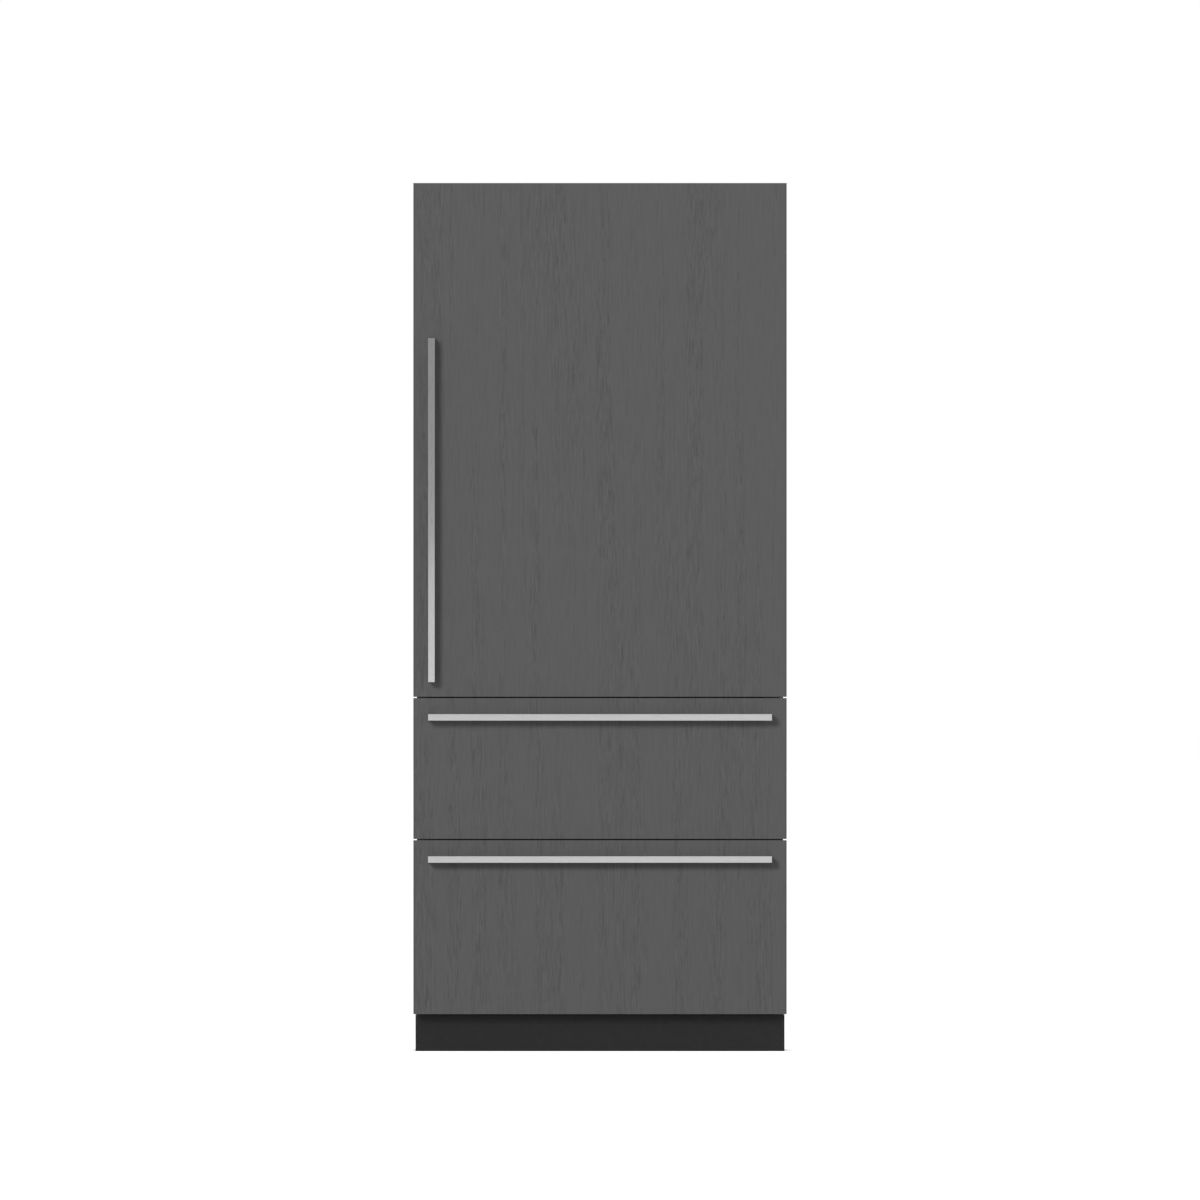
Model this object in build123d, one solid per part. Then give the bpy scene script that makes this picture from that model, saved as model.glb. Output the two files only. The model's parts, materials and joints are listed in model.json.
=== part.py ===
from build123d import *
from math import cos, pi, radians, sin
import os

# A built-in refrigerator with one hinged fresh-food door over two freezer drawers.
# It stands on Z = 0, its front faces -Y, and the origin is under the middle of its box.
# All sizes are in millimetres.

# Front panels, from the photograph
panel_width = 914.0
panel_thickness = 19.0
panel_gap = 4.0
panel_edge_chamfer = 1.0
toe_space_height = 91.0
lower_panel_height = 425.5
upper_panel_height = 344.0
door_panel_height = 1257.5

# Bar handles, from the photograph
handle_side_inset = 36.0
handle_bar_size = 16.0
handle_stand_off = 34.0
handle_bar_chamfer = 0.8
door_handle_offset = 44.5
door_handle_rise = 35.5
drawer_handle_offset = 46.5

# Toe kick
kick_side_overhang = 3.5
kick_height = 88.0
kick_floor_gap = 1.5
kick_depth = 16.5
kick_sheet = 1.5
kick_tab_inset = 148.5
kick_tab_width = 40.0

# Cabinet body
cabinet_side_inset = 8.5
cabinet_depth = 554.0
cabinet_top_drop = 14.0
body_lift = 21.0
side_wall = 48.5
top_wall = 50.0
rear_wall = 48.0
bottom_wall = 43.0
mullion_height = 65.0
middle_rail_height = 65.0
middle_rail_depth = 44.0
skin = 1.0
liner = 2.0
liner_corner = 8.0
frame_sheet = 3.0
back_bead_count = 4
back_bead_margin = 240.0
back_bead_side_inset = 108.5
back_bead_height = 14.0
back_bead_depth = 4.0

# Insulated door and drawer fronts
core_thickness = 44.0
core_inset = 4.0
pan_sheet = 1.0
core_flange = 1.5
gasket_gap = 12.0
gasket_width = 20.0
gasket_edge = 4.0
gasket_foot = 3.0
gasket_head = 4.5
gasket_neck_inset = 4.0
soft_gap = 0.3

# Door hinge
hinge_pin_radius = 6.0
hinge_pin_side_inset = 15.5
hinge_pin_back_inset = 25.5
hinge_plate = 5.0
hinge_plate_side = 11.0
hinge_plate_width = 48.0
hinge_plate_nose = 13.0
hinge_nose_chamfer = 6.6
hinge_plate_reach = 95.0
hinge_pin_engagement = 27.0
hinge_bearing_size = 20.0
hinge_running_gap = 0.05
top_hinge_gap = 3.0
lower_hinge_drop = 2.7
hinge_washer_gap = 0.3
hinge_flange_height = 14.0

# Machine compartment and base
ground_clearance = 45.0
base_sheet = 2.0
base_flange_height = 40.0
base_rail_width = 60.0
base_rail_inset = 58.5
machine_depth = 215.0
machine_height = 254.0
machine_insulation = 45.0
leg_pad_radius = 22.0
leg_pad_height = 8.0
leg_stud_radius = 6.0
leg_stud_length = 62.0
leg_nut_height = 7.0
leg_nut_flat = 19.0
leg_front_setback = 44.0
leg_rear_setback = 38.0
leg_boss_wall = 5.0
leg_boss_height = 10.0
leg_thread_gap = 0.05

# Air ducts and their slots
duct_depth = 60.0
duct_wall = 3.0
vent_width = 90.0
vent_height = 7.0
vent_pitch = 16.0
vent_rows = 3
vent_inset = 250.0
fridge_vents = (330.0, 660.0, 990.0)
freezer_vents = (300.0, 400.0)

# Fresh-food shelves on ladder tracks
track_inset = 100.0
track_width = 20.0
track_depth = 5.0
track_sheet = 1.5
track_rise = 251.0
track_length = 834.0
slot_pitch = 60.0
slot_height = 14.0
slot_width = 6.0
slot_first = 20.0
shelf_slots = (3, 6, 10)
shelf_side_gap = 8.0
shelf_ring_width = 14.0
shelf_ring_height = 14.0
shelf_front_setback = 122.5
shelf_rear_gap = 4.5
shelf_bracket = 4.0
shelf_bracket_root = 62.0
shelf_bracket_tip = 12.0
glass_thickness = 5.0
glass_fit = 0.5
glass_ledge = 6.0

# Crispers
crisper_zone = 213.0
crisper_wall_gap = 8.0
crisper_panel = 4.0
crisper_runner = 8.0
crisper_runner_sheet = 4.0
crisper_runner_drop = 45.0
crisper_side_gap = 1.0
crisper_wall = 2.5
crisper_floor_gap = 8.0
crisper_front_setback = 174.5
crisper_front_thickness = 5.0
crisper_front_gap = 2.0
crisper_rear_gap = 12.0
crisper_grip_width = 120.0
crisper_grip_depth = 14.0

# Door storage
dyke_side_gap = 15.0
dyke_bottom_gap = 16.0
dyke_top_gap = 34.0
dyke_width = 22.0
dyke_height = 50.0
bin_side_gap = 2.0
bin_wall = 5.0
bin_floor = 3.0
bin_depth = 98.0
bin_back_gap = 2.0
bin_heights = (110.0, 85.0, 85.0)
bin_rises = (36.0, 300.0, 545.0)
bin_corner = 12.0
lug_reach = 4.5
lug_depth = 20.0
lug_height = 40.0
lug_setback = 24.0
dairy_rise = 800.0
dairy_height = 95.0
dairy_lid_thickness = 3.0
dairy_lid_lip = 16.0
dairy_pin_radius = 2.5
dairy_pin_gap = 0.05
dairy_lid_side_gap = 1.0

# Freezer drawers
slide_length = 400.0
slide_setback = 12.0
slide_sheet = 1.2
slide_thickness = 12.7
slide_height = 45.0
slide_ball = 4.8
slide_lip = 4.0
slide_web_gap = 1.2
upper_slide_rise = 96.5
lower_slide_rise = 265.0
plug_side_gap = 8.0
plug_depth = 14.0
plug_corner = 6.0
arm_sheet = 2.0
arm_rise = 40.0
arm_ledge = 13.0
arm_flange = 25.0
cross_bar_height = 22.0
cross_bar_depth = 4.0
tub_wall = 3.0
tub_rim = 3.0
tub_side_gap = 1.0
tub_corner = 14.0
tub_front_gap = 4.0
tub_rear_gap = 3.5
tub_lip = 8.0
upper_tub_floor_gap = 12.5
lower_tub_floor_gap = 12.0
tub_step_gap = 6.0
tray_depth = 180.0
tray_drop = 78.0
tray_lip = 12.0
tray_wall = 2.5
tray_ledge = 10.0
tray_ledge_drop = 20.0
tray_side_gap = 2.0

# Refrigeration parts
compressor_inset = 193.5
compressor_radius = 78.0
compressor_height = 168.0
compressor_dome = 34.0
compressor_foot_length = 200.0
compressor_foot_width = 120.0
compressor_foot_sheet = 3.0
terminal_box = 50.0
terminal_box_rise = 59.0
grommet_radius = 13.0
grommet_height = 14.0
coil_tube = 3.0
coil_depth = 26.0
coil_fin = 0.8
coil_fin_end_gap = 1.5
condenser_offset = 60.0
condenser_rise = 24.0
condenser_width = 180.0
condenser_passes = 5
condenser_pitch = 38.0
condenser_waves = 4
evaporator_width = 420.0
evaporator_passes = 3
evaporator_pitch = 80.0
evaporator_waves = 4
evaporator_rise = 70.0
evaporator_stand = 6.0
fan_radius = 84.0
fan_hub_radius = 26.0
fan_hub_length = 26.0
fan_blades = 5
fan_tip_gap = 3.0
fan_tip_angle = 24.0
fan_pitch = 25.0
fan_blade = 1.6
fan_offset = 30.0
fan_plate = 3.0
fan_plate_border = 8.0
fan_motor_radius = 24.0
fan_motor_length = 30.0
small_fan_radius = 52.0
small_fan_hub_radius = 16.0
small_fan_hub_length = 18.0
small_fan_motor_radius = 18.0
small_fan_motor_length = 16.0
small_fan_gap_above_coil = 24.0
shaft_gap = 0.05
drain_pan_wall = 2.0
drain_pan_height = 26.0
drain_pan_width = 230.0
drain_pan_depth = 170.0
drain_pan_inset = 213.5
pipe_radius = 3.5
pipe_bend = 16.0
drier_radius = 10.0
drier_length = 90.0

# Ice maker
ice_maker_side_gap = 12.0
ice_maker_setback = 61.5
ice_mould_length = 200.0
ice_mould_width = 84.0
ice_mould_height = 42.0
ice_mould_drop = 106.0
ice_cup_radius = 34.0
ice_divider = 3.0
ice_end = 6.0
ice_shaft_lift = 2.0
ice_gearbox_length = 44.0
ice_gearbox_drop = 6.0
ice_gearbox_top = 40.0
ice_bearing_depth = 12.0
ice_cups = 6
ice_shaft_radius = 4.0
ice_finger_length = 24.0
ice_finger_thickness = 6.0
ice_bracket_sheet = 3.0
feeler_reach = 60.0
feeler_offset = 10.0
feeler_pin_radius = 3.0
feeler_width = 4.0
feeler_paddle = 12.0
feeler_length = 160.0

# Small fittings
control_width = 300.0
control_depth = 54.0
control_height = 20.0
control_chamfer = 12.0
light_inset = 120.0
light_depth = 30.0
light_height = 9.0
light_chamfer = 3.6
anchor_inset = 198.5
anchor_width = 60.0
anchor_sheet = 3.0
anchor_lift = 8.0
anchor_hole_radius = 3.25
anchor_foot = 30.0
anchor_shelf = 34.0
anchor_setback = 60.0
inlet_width = 50.0
inlet_height = 34.0
inlet_depth = 30.0
inlet_side_inset = 48.5
inlet_rise = 155.0
inlet_wall = 5.0
inlet_recess = 16.0
inlet_pin = 4.0
inlet_pitch = 12.0
valve_tube_radius = 3.175
valve_size = 34.0
valve_coil = 24.0
valve_side_inset = 48.5
valve_rise = 155.0
cover_columns = 4
cover_rows = 5
cover_slot_width = 110.0
cover_slot_height = 8.0
cover_slot_pitch_x = 150.0
cover_slot_pitch_z = 34.0

# Heights
panel_half = panel_width / 2
lower_panel_bottom = toe_space_height
lower_panel_top = lower_panel_bottom + lower_panel_height
upper_panel_bottom = lower_panel_top + panel_gap
upper_panel_top = upper_panel_bottom + upper_panel_height
door_panel_bottom = upper_panel_top + panel_gap
door_panel_top = door_panel_bottom + door_panel_height
body_bottom = lower_panel_bottom + body_lift
cabinet_top = door_panel_top - cabinet_top_drop
mullion_middle = (upper_panel_top + door_panel_bottom) / 2
fridge_floor = mullion_middle + mullion_height / 2
fridge_ceiling = cabinet_top - top_wall
freezer_ceiling = mullion_middle - mullion_height / 2
middle_rail_middle = (lower_panel_top + upper_panel_bottom) / 2
upper_opening_bottom = middle_rail_middle + middle_rail_height / 2
lower_opening_top = middle_rail_middle - middle_rail_height / 2
freezer_floor = body_bottom + bottom_wall
machine_floor = ground_clearance + base_sheet
machine_top = ground_clearance + machine_height
hump_top = machine_top + machine_insulation

# Stations from front to back
overall_depth = (handle_bar_size + handle_stand_off + panel_thickness + core_thickness
                 + gasket_gap + cabinet_depth)
bar_front_y = -overall_depth / 2
panel_front_y = bar_front_y + handle_bar_size + handle_stand_off
core_front_y = panel_front_y + panel_thickness
core_back_y = core_front_y + core_thickness
frame_front_y = core_back_y + gasket_gap
frame_back_y = frame_front_y + frame_sheet
cabinet_back_y = frame_front_y + cabinet_depth
cavity_back_y = cabinet_back_y - rear_wall
machine_front_y = cabinet_back_y - machine_depth
hump_front_y = machine_front_y - machine_insulation
duct_face_y = cavity_back_y - duct_depth
track_face_y = duct_face_y - track_depth

# Half widths and places across
cabinet_half = panel_half - cabinet_side_inset
cavity_half = cabinet_half - side_wall
core_half = cabinet_half
duct_half = cavity_half - liner_corner
kick_half = cabinet_half + kick_side_overhang
handle_length = 2 * (panel_half - handle_side_inset)
track_offset = cavity_half - track_inset
vent_offset = cavity_half - vent_inset
base_rail_offset = cabinet_half - base_rail_inset
kick_tab_offset = cabinet_half - kick_tab_inset
compressor_offset = cabinet_half - compressor_inset
drain_pan_offset = cabinet_half - drain_pan_inset
valve_offset = cabinet_half - valve_side_inset
inlet_offset = cabinet_half - inlet_side_inset
anchor_offset = cabinet_half - anchor_inset
valve_level = ground_clearance + valve_rise
inlet_level = ground_clearance + inlet_rise

# Door hinge line
hinge_x = core_half - hinge_pin_side_inset
hinge_y = core_back_y - hinge_pin_back_inset
door_core_top = cabinet_top - top_hinge_gap
lower_hinge_z = mullion_middle - lower_hinge_drop
door_core_bottom = door_panel_bottom + core_inset

# Drawer slides and tubs
slide_front_y = frame_front_y + slide_setback
slide_back_y = slide_front_y + slide_length
upper_slide_z = upper_opening_bottom + upper_slide_rise
lower_slide_z = freezer_floor + lower_slide_rise
arm_face_x = cavity_half - slide_thickness
tub_half = arm_face_x - arm_sheet - arm_ledge - tub_side_gap
plug_face_y = core_back_y + plug_depth
ice_front = frame_back_y + ice_maker_setback


def block(x, y, z):
    # A box between two limits on each axis
    size = [high - low for low, high in (x, y, z)]
    middle = [(high + low) / 2 for low, high in (x, y, z)]
    return Pos(*middle) * Box(*size)


def both(half):
    return (-half, half)


def both_at(middle, half):
    return (middle - half, middle + half)


def ring(outer_x, outer_z, border, y):
    # A picture frame in the XZ plane, with one border width
    (left, right), (bottom, top) = outer_x, outer_z
    hole = block((left + border, right - border), (y[0] - 1, y[1] + 1), (bottom + border, top - border))
    return block(outer_x, y, outer_z) - hole


def rod(start, direction, radius, length):
    upright = Cylinder(radius, length, align=(Align.CENTER, Align.CENTER, Align.MIN))
    return Plane(origin=start, z_dir=direction) * upright


def prism(start, direction, flat, length, sides):
    # A polygonal rod, measured across its flats
    outline = RegularPolygon(flat / 2, sides, major_radius=False)
    return extrude(Plane(origin=start, z_dir=direction) * outline, amount=length)


def mirrored(shape):
    return [shape, mirror(shape, about=Plane.YZ)]


def solid_across(points, half, corner=0, corners=()):
    # An outline of (y, z) points, drawn across the width from -half to half
    outline = make_face(Polyline(*[(0, y, z) for y, z in points], close=True))
    if corner:
        chosen = [v for v in outline.vertices()
                  if any(abs(v.Y - y) < 0.01 and abs(v.Z - z) < 0.01 for y, z in corners)]
        outline = fillet(chosen, corner)
    return extrude(outline, amount=half, dir=(1, 0, 0), both=True)


def save(name, *shapes):
    # One file for each node, holding its separate solids
    solids = [solid for shape in shapes for solid in shape.solids()]
    export_step(Compound(solids), f"parts/{name}.step")


# Cabinet

def fridge_form(grow):
    # The fresh-food cavity's box, grown outwards by a wall
    half = cavity_half + grow
    form = block(both(half), (frame_back_y, cavity_back_y + grow), (fridge_floor - grow, fridge_ceiling + grow))
    return fillet(form.edges().filter_by(Axis.Y), liner_corner + grow)


def freezer_form(grow):
    # The freezer cavity, which steps up over the machine compartment
    floor, ceiling, back = freezer_floor - grow, freezer_ceiling + grow, cavity_back_y + grow
    step_y, step_z = hump_front_y + grow, hump_top - grow
    points = [(frame_back_y, floor), (step_y, floor), (step_y, step_z), (back, step_z), (back, ceiling),
              (frame_back_y, ceiling)]
    return solid_across(points, cavity_half + grow, liner_corner, [(step_y, floor), (back, step_z)])


def build_liners():
    fridge = fridge_form(liner) - fridge_form(0)
    freezer = freezer_form(liner) - freezer_form(0)
    return fridge, freezer


def bead_heights():
    low, high = machine_top + back_bead_margin, cabinet_top - back_bead_margin
    step = (high - low) / (back_bead_count - 1)
    return [low + step * i for i in range(back_bead_count)]


def back_bead(z, inset):
    # A pressed bead stands into the foam; inset draws the cut that hollows it from behind
    return block(both(cabinet_half - back_bead_side_inset - inset),
                 (cabinet_back_y - skin - back_bead_depth + inset, cabinet_back_y),
                 (z - back_bead_height / 2 + inset, z + back_bead_height / 2 - inset))


def build_back_panel():
    inner = cabinet_half - skin
    panel = block(both(inner), (cabinet_back_y - skin, cabinet_back_y), (machine_top, cabinet_top - skin))
    for z in bead_heights():
        panel = panel + back_bead(z, 0) - back_bead(z, skin)
    return panel


def build_foam():
    inner = cabinet_half - skin
    foam = block(both(inner), (frame_back_y, cabinet_back_y - skin), (body_bottom + skin, cabinet_top - skin))
    notch = block(both(inner), (machine_front_y - skin, cabinet_back_y), (body_bottom, machine_top + skin))
    foam = foam - notch - fridge_form(liner) - freezer_form(liner)
    for z in bead_heights():
        foam = foam - back_bead(z, 0)
    return foam


def build_outer_panels():
    # Two sides, a top, and the sheets that close the underside and line the machine compartment
    inner = cabinet_half - skin
    side = block((inner, cabinet_half), (frame_back_y, cabinet_back_y), (ground_clearance, cabinet_top))
    top = block(both(inner), (frame_back_y, cabinet_back_y), (cabinet_top - skin, cabinet_top))
    under = block(both(inner), (frame_back_y, machine_front_y), (body_bottom, body_bottom + skin))
    wall = block(both(inner), (machine_front_y - skin, machine_front_y),
                 (body_bottom + skin, machine_top + skin))
    ceiling = block(both(inner), (machine_front_y, cabinet_back_y - skin), (machine_top, machine_top + skin))
    return [*mirrored(side), top, under, wall, ceiling]


def build_front_frame():
    stile = block((cavity_half, cabinet_half), (frame_front_y, frame_back_y), (body_bottom, cabinet_top))
    sheet = (frame_front_y, frame_back_y)
    rails = [block(both(cavity_half), sheet, (fridge_ceiling, cabinet_top)),
             block(both(cavity_half), sheet, (freezer_ceiling, fridge_floor)),
             block(both(cavity_half), sheet, (body_bottom, freezer_floor))]
    beam = block(both(cavity_half), (frame_front_y, frame_front_y + middle_rail_depth),
                 (lower_opening_top, upper_opening_bottom))
    beam = fillet(beam.edges().filter_by(Axis.X).sort_by(Axis.Y)[2:], liner_corner)
    return [*mirrored(stile), *rails, beam]


# Base, legs and toe kick

def leg_places():
    side = base_rail_offset
    front, rear = frame_back_y + leg_front_setback, cabinet_back_y - leg_rear_setback
    return [(x, y) for x in (-side, side) for y in (front, rear)]


def build_base_pan():
    inner = cabinet_half - skin
    front, back = frame_back_y, cabinet_back_y - skin
    pan = block(both(inner), (front, back), (ground_clearance, machine_floor))
    flange = block((inner - base_sheet, inner), (front, back),
                   (ground_clearance, ground_clearance + base_flange_height))
    rail = block(both_at(base_rail_offset, base_rail_width / 2), (front, machine_front_y),
                 (machine_floor, body_bottom))
    hollow = block(both_at(base_rail_offset, base_rail_width / 2 - base_sheet),
                   (front - 1, machine_front_y + 1), (machine_floor, body_bottom - base_sheet))
    tab_x = both_at(kick_tab_offset, kick_tab_width / 2)
    tab_face_y = frame_front_y - kick_depth + kick_sheet
    tab = block(tab_x, (tab_face_y, front), (ground_clearance, machine_floor))
    tab_upright = block(tab_x, (tab_face_y, tab_face_y + base_sheet),
                        (ground_clearance, kick_height - kick_sheet))
    for piece in (flange, rail - hollow, tab + tab_upright):
        for copy in mirrored(piece):
            pan = pan + copy
    for x, y in leg_places():
        boss = prism((x, y, ground_clearance), (0, 0, 1), 2 * (leg_stud_radius + leg_boss_wall),
                     base_sheet + leg_boss_height, 6)
        bore = prism((x, y, ground_clearance - 1), (0, 0, 1), 2 * (leg_stud_radius + leg_thread_gap),
                     base_sheet + leg_boss_height + 2, 8)
        pan = pan + boss - bore
    return pan


def build_leg(x, y):
    # Six-sided foot, stud and jam nut, turned up against the base
    pad = prism((x, y, 0), (0, 0, 1), 2 * leg_pad_radius, leg_pad_height, 6)
    stud = prism((x, y, leg_pad_height), (0, 0, 1), 2 * leg_stud_radius, leg_stud_length, 8)
    nut = prism((x, y, ground_clearance - leg_nut_height), (0, 0, 1), leg_nut_flat, leg_nut_height, 6)
    return pad + stud + nut


def build_kickplate():
    # A shallow tray on edge, open behind
    y = (frame_front_y - kick_depth, frame_front_y)
    z = (kick_floor_gap, kick_height)
    shell = block(both(kick_half), y, z)
    inside = block(both(kick_half - kick_sheet), (y[0] + kick_sheet, y[1] + 1),
                   (z[0] + kick_sheet, z[1] - kick_sheet))
    return shell - inside


# Door and drawer fronts

def build_panel(bottom, top):
    panel = block(both(panel_half), (panel_front_y, core_front_y), (bottom, top))
    return chamfer(panel.faces().sort_by(Axis.Y)[0].edges(), panel_edge_chamfer)


def build_gasket(opening):
    # Foot, neck and magnet head of the seal, all the way round an opening
    bottom, top = opening
    reach = gasket_edge + gasket_width
    x = both(cavity_half + reach)
    z = (bottom - reach, top + reach)
    y0, y1 = core_back_y, frame_front_y - soft_gap
    inset = gasket_neck_inset
    foot = ring(x, z, gasket_width, (y0, y0 + gasket_foot))
    head = ring(x, z, gasket_width, (y1 - gasket_head, y1))
    neck = ring((x[0] + inset, x[1] - inset), (z[0] + inset, z[1] - inset), gasket_width - 2 * inset, (y0, y1))
    return foot + neck + head


def build_handle(upright, centre):
    # A square bar returned to the panel by a square post at each end; centre is (x, z)
    half = handle_length / 2
    across = both(handle_bar_size / 2)
    y = (bar_front_y, bar_front_y + handle_bar_size)
    bar = block(across, y, both(half)) if upright else block(both(half), y, across)
    pieces = [chamfer(bar.edges(), handle_bar_chamfer)]
    for side in (-1, 1):
        end = sorted((side * half, side * (half - handle_bar_size)))
        reach = (y[1], panel_front_y)
        pieces.append(block(across, reach, end) if upright else block(end, reach, across))
    return [Pos(centre[0], 0, centre[1]) * piece for piece in pieces]


def door_sockets():
    # The two square sockets for the hinge bearings
    x, y = both_at(hinge_x, hinge_bearing_size / 2), both_at(hinge_y, hinge_bearing_size / 2)
    low = block(x, y, (door_core_bottom, door_core_bottom + hinge_pin_engagement))
    high = block(x, y, (door_core_top - hinge_pin_engagement, door_core_top))
    return low, high


def core_blocks(bottom, top):
    # The steel pan's box, its filling and the liner's flange, which covers the pan's edge
    pan = block(both(core_half), (core_front_y, core_back_y - core_flange), (bottom, top))
    filling = block(both(core_half - pan_sheet), (core_front_y + pan_sheet, core_back_y - core_flange),
                    (bottom + pan_sheet, top - pan_sheet))
    flange = block(both(core_half), (core_back_y - core_flange, core_back_y), (bottom, top))
    return pan, filling, flange


def lug_x():
    inner = cavity_half - dyke_side_gap - dyke_width
    return (inner - lug_reach, inner)


def lug_y():
    return (core_back_y + lug_setback, core_back_y + lug_setback + lug_depth)


def build_door_shell():
    # The door's steel pan and its foamed inner liner, with the raised dyke that carries the bins
    pan, filling, flange = core_blocks(door_core_bottom, door_core_top)
    low, high = door_sockets()
    shell = pan - filling - low - high
    dyke_z = (fridge_floor + dyke_bottom_gap, fridge_ceiling - dyke_top_gap)
    dyke = ring(both(cavity_half - dyke_side_gap), dyke_z, dyke_width, (core_back_y, core_back_y + dyke_height))
    inner = filling + flange + dyke
    for rise in (*bin_rises, dairy_rise):
        z = fridge_floor + rise
        lug = block(lug_x(), lug_y(), (z, z + lug_height))
        for copy in mirrored(lug):
            inner = inner + copy
    return shell, inner - low - high


def build_bearings():
    # Nylon blocks with a bore for each hinge pin, standing proud of the door to carry it on the plates
    bearings = []
    x, y = both_at(hinge_x, hinge_bearing_size / 2), both_at(hinge_y, hinge_bearing_size / 2)
    low = (lower_hinge_z + hinge_plate + hinge_washer_gap, door_core_bottom + hinge_pin_engagement)
    high = (door_core_top - hinge_pin_engagement, cabinet_top - hinge_washer_gap)
    for z in (low, high):
        bore = rod((hinge_x, hinge_y, z[0] - 1), (0, 0, 1), hinge_pin_radius + hinge_running_gap,
                   z[1] - z[0] + 2)
        bearings.append(block(x, y, z) - bore)
    return bearings


def hinge_plan(z, reach):
    # The bracket's outline from above, rounded over the pin
    right = hinge_x + hinge_plate_side
    left = right - hinge_plate_width
    nose = hinge_y - hinge_plate_nose
    plate = block((left, right), (nose, hinge_y + reach), (z, z + hinge_plate))
    return chamfer(plate.edges().filter_by(Axis.Z).sort_by(Axis.Y)[:2], hinge_nose_chamfer)


def build_hinges():
    top = hinge_plan(cabinet_top, hinge_plate_reach)
    pin_top = rod((hinge_x, hinge_y, cabinet_top + hinge_plate), (0, 0, -1), hinge_pin_radius,
                  hinge_plate + top_hinge_gap + hinge_pin_engagement)
    low = hinge_plan(lower_hinge_z, frame_front_y - hinge_y)
    right = hinge_x + hinge_plate_side
    foot = block((right - hinge_plate_width, right), (frame_front_y - hinge_plate, frame_front_y),
                 both_at(mullion_middle, hinge_flange_height / 2))
    pin_low = rod((hinge_x, hinge_y, lower_hinge_z), (0, 0, 1), hinge_pin_radius,
                  door_core_bottom - lower_hinge_z + hinge_pin_engagement)
    return top + pin_top, low + foot + pin_low


def bin_x():
    return cavity_half - dyke_side_gap - dyke_width - bin_side_gap


def bin_y():
    return (core_back_y + bin_back_gap, core_back_y + bin_back_gap + bin_depth)


def lug_pocket(z):
    # The groove in a bin's end that drops over a lug and rests on its top
    x0, x1 = lug_x()
    y0, y1 = lug_y()
    return block((x0 - soft_gap, x1 + 1), (y0 - soft_gap, y1 + soft_gap), (z - 100, z + lug_height))


def build_bin(rise, height):
    z = fridge_floor + rise + bin_floor
    half = bin_x()
    y = bin_y()
    tub = block(both(half), y, (z, z + height))
    tub = chamfer(tub.edges().filter_by(Axis.Z).sort_by(Axis.Y)[2:], bin_corner)
    hollow = block(both(half - bin_wall), (y[0] + bin_floor, y[1] - bin_floor), (z + bin_floor, z + height + 1))
    hollow = chamfer(hollow.edges().filter_by(Axis.Z).sort_by(Axis.Y)[2:], bin_corner - bin_floor)
    shell = tub - hollow
    for pocket in mirrored(lug_pocket(fridge_floor + rise)):
        shell = shell - pocket
    return shell


def dairy_top():
    return fridge_floor + dairy_rise + bin_floor + dairy_height


def dairy_pin():
    # The lid's hinge line, (y, z), in the lid's own thickness and clear of the box's rear wall
    return bin_y()[0] + bin_floor + 2 * dairy_pin_radius, dairy_top() + soft_gap + dairy_lid_thickness / 2


def build_dairy_box():
    # The box's end walls rise into ears that hold the lid's pins
    box = build_bin(dairy_rise, dairy_height)
    y, z = dairy_pin()
    reach = bin_x()
    ear = block((reach - bin_wall, reach), both_at(y, bin_wall), (dairy_top(), z + bin_wall))
    for copy in mirrored(ear):
        box = box + copy
    return box - rod((-reach - 1, y, z), (1, 0, 0), dairy_pin_radius + dairy_pin_gap, 2 * reach + 2)


def build_dairy_lid():
    # A flat lid over the box, with a rear bead that carries the pins, and a lip in front
    y, z = dairy_pin()
    half = bin_x() - bin_wall - dairy_lid_side_gap
    front = bin_y()[1] + soft_gap
    lid_z = both_at(z, dairy_lid_thickness / 2)
    plate = block(both(half), (y, front + dairy_lid_thickness), lid_z)
    lip = block(both(half), (front, front + dairy_lid_thickness), (dairy_top() - dairy_lid_lip, lid_z[1]))
    bead = block(both(half), both_at(y, dairy_pin_radius), (z - dairy_pin_radius, lid_z[1]))
    pins = rod((-bin_x(), y, z), (1, 0, 0), dairy_pin_radius, 2 * bin_x())
    return plate + lip + bead + pins


def vent_bank(z):
    # Rows of air slots on both sides of the middle
    y = (duct_face_y - 1, duct_face_y + duct_wall + 1)
    return [block(both_at(x, vent_width / 2), y, both_at(z + row * vent_pitch, vent_height / 2))
            for x in both(vent_offset) for row in range(vent_rows)]


def build_duct(bottom, top, banks):
    # A moulded cover, open behind, with banks of air slots
    outer = block(both(duct_half), (duct_face_y, cavity_back_y), (bottom + liner_corner, top - liner_corner))
    inner = block(both(duct_half - duct_wall), (duct_face_y + duct_wall, cavity_back_y + 1),
                  (bottom + liner_corner + duct_wall, top - liner_corner - duct_wall))
    cover = outer - inner
    for z in banks:
        for slot in vent_bank(z):
            cover = cover - slot
    return cover


def slot_height_at(index):
    return fridge_floor + track_rise + slot_first + index * slot_pitch


def build_track(x):
    # A steel ladder strip with one slot at each pitch
    bottom = fridge_floor + track_rise
    half = track_width / 2
    channel = block(both_at(x, half), (track_face_y, duct_face_y), (bottom, bottom + track_length))
    hollow = block(both_at(x, half - track_sheet), (track_face_y + track_sheet, duct_face_y + 1),
                   (bottom - 1, bottom + track_length + 1))
    track = channel - hollow
    slots = int((track_length - slot_first - slot_height) // slot_pitch) + 1
    for index in range(slots):
        track = track - block(both_at(x, slot_width / 2), (track_face_y - 1, track_face_y + track_sheet + 1),
                              both_at(slot_height_at(index), slot_height / 2))
    return track


def shelf_rim():
    # The plan of a shelf's rim: half width, front and back
    return cavity_half - shelf_side_gap, frame_front_y + shelf_front_setback, track_face_y - shelf_rear_gap


def glass_seat(grow, z):
    # The rebate that holds a pane in its rim
    half, front, back = shelf_rim()
    inset = shelf_ring_width - glass_ledge
    return block(both(half - inset + grow), (front + inset - grow, back - inset + grow), z)


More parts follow.
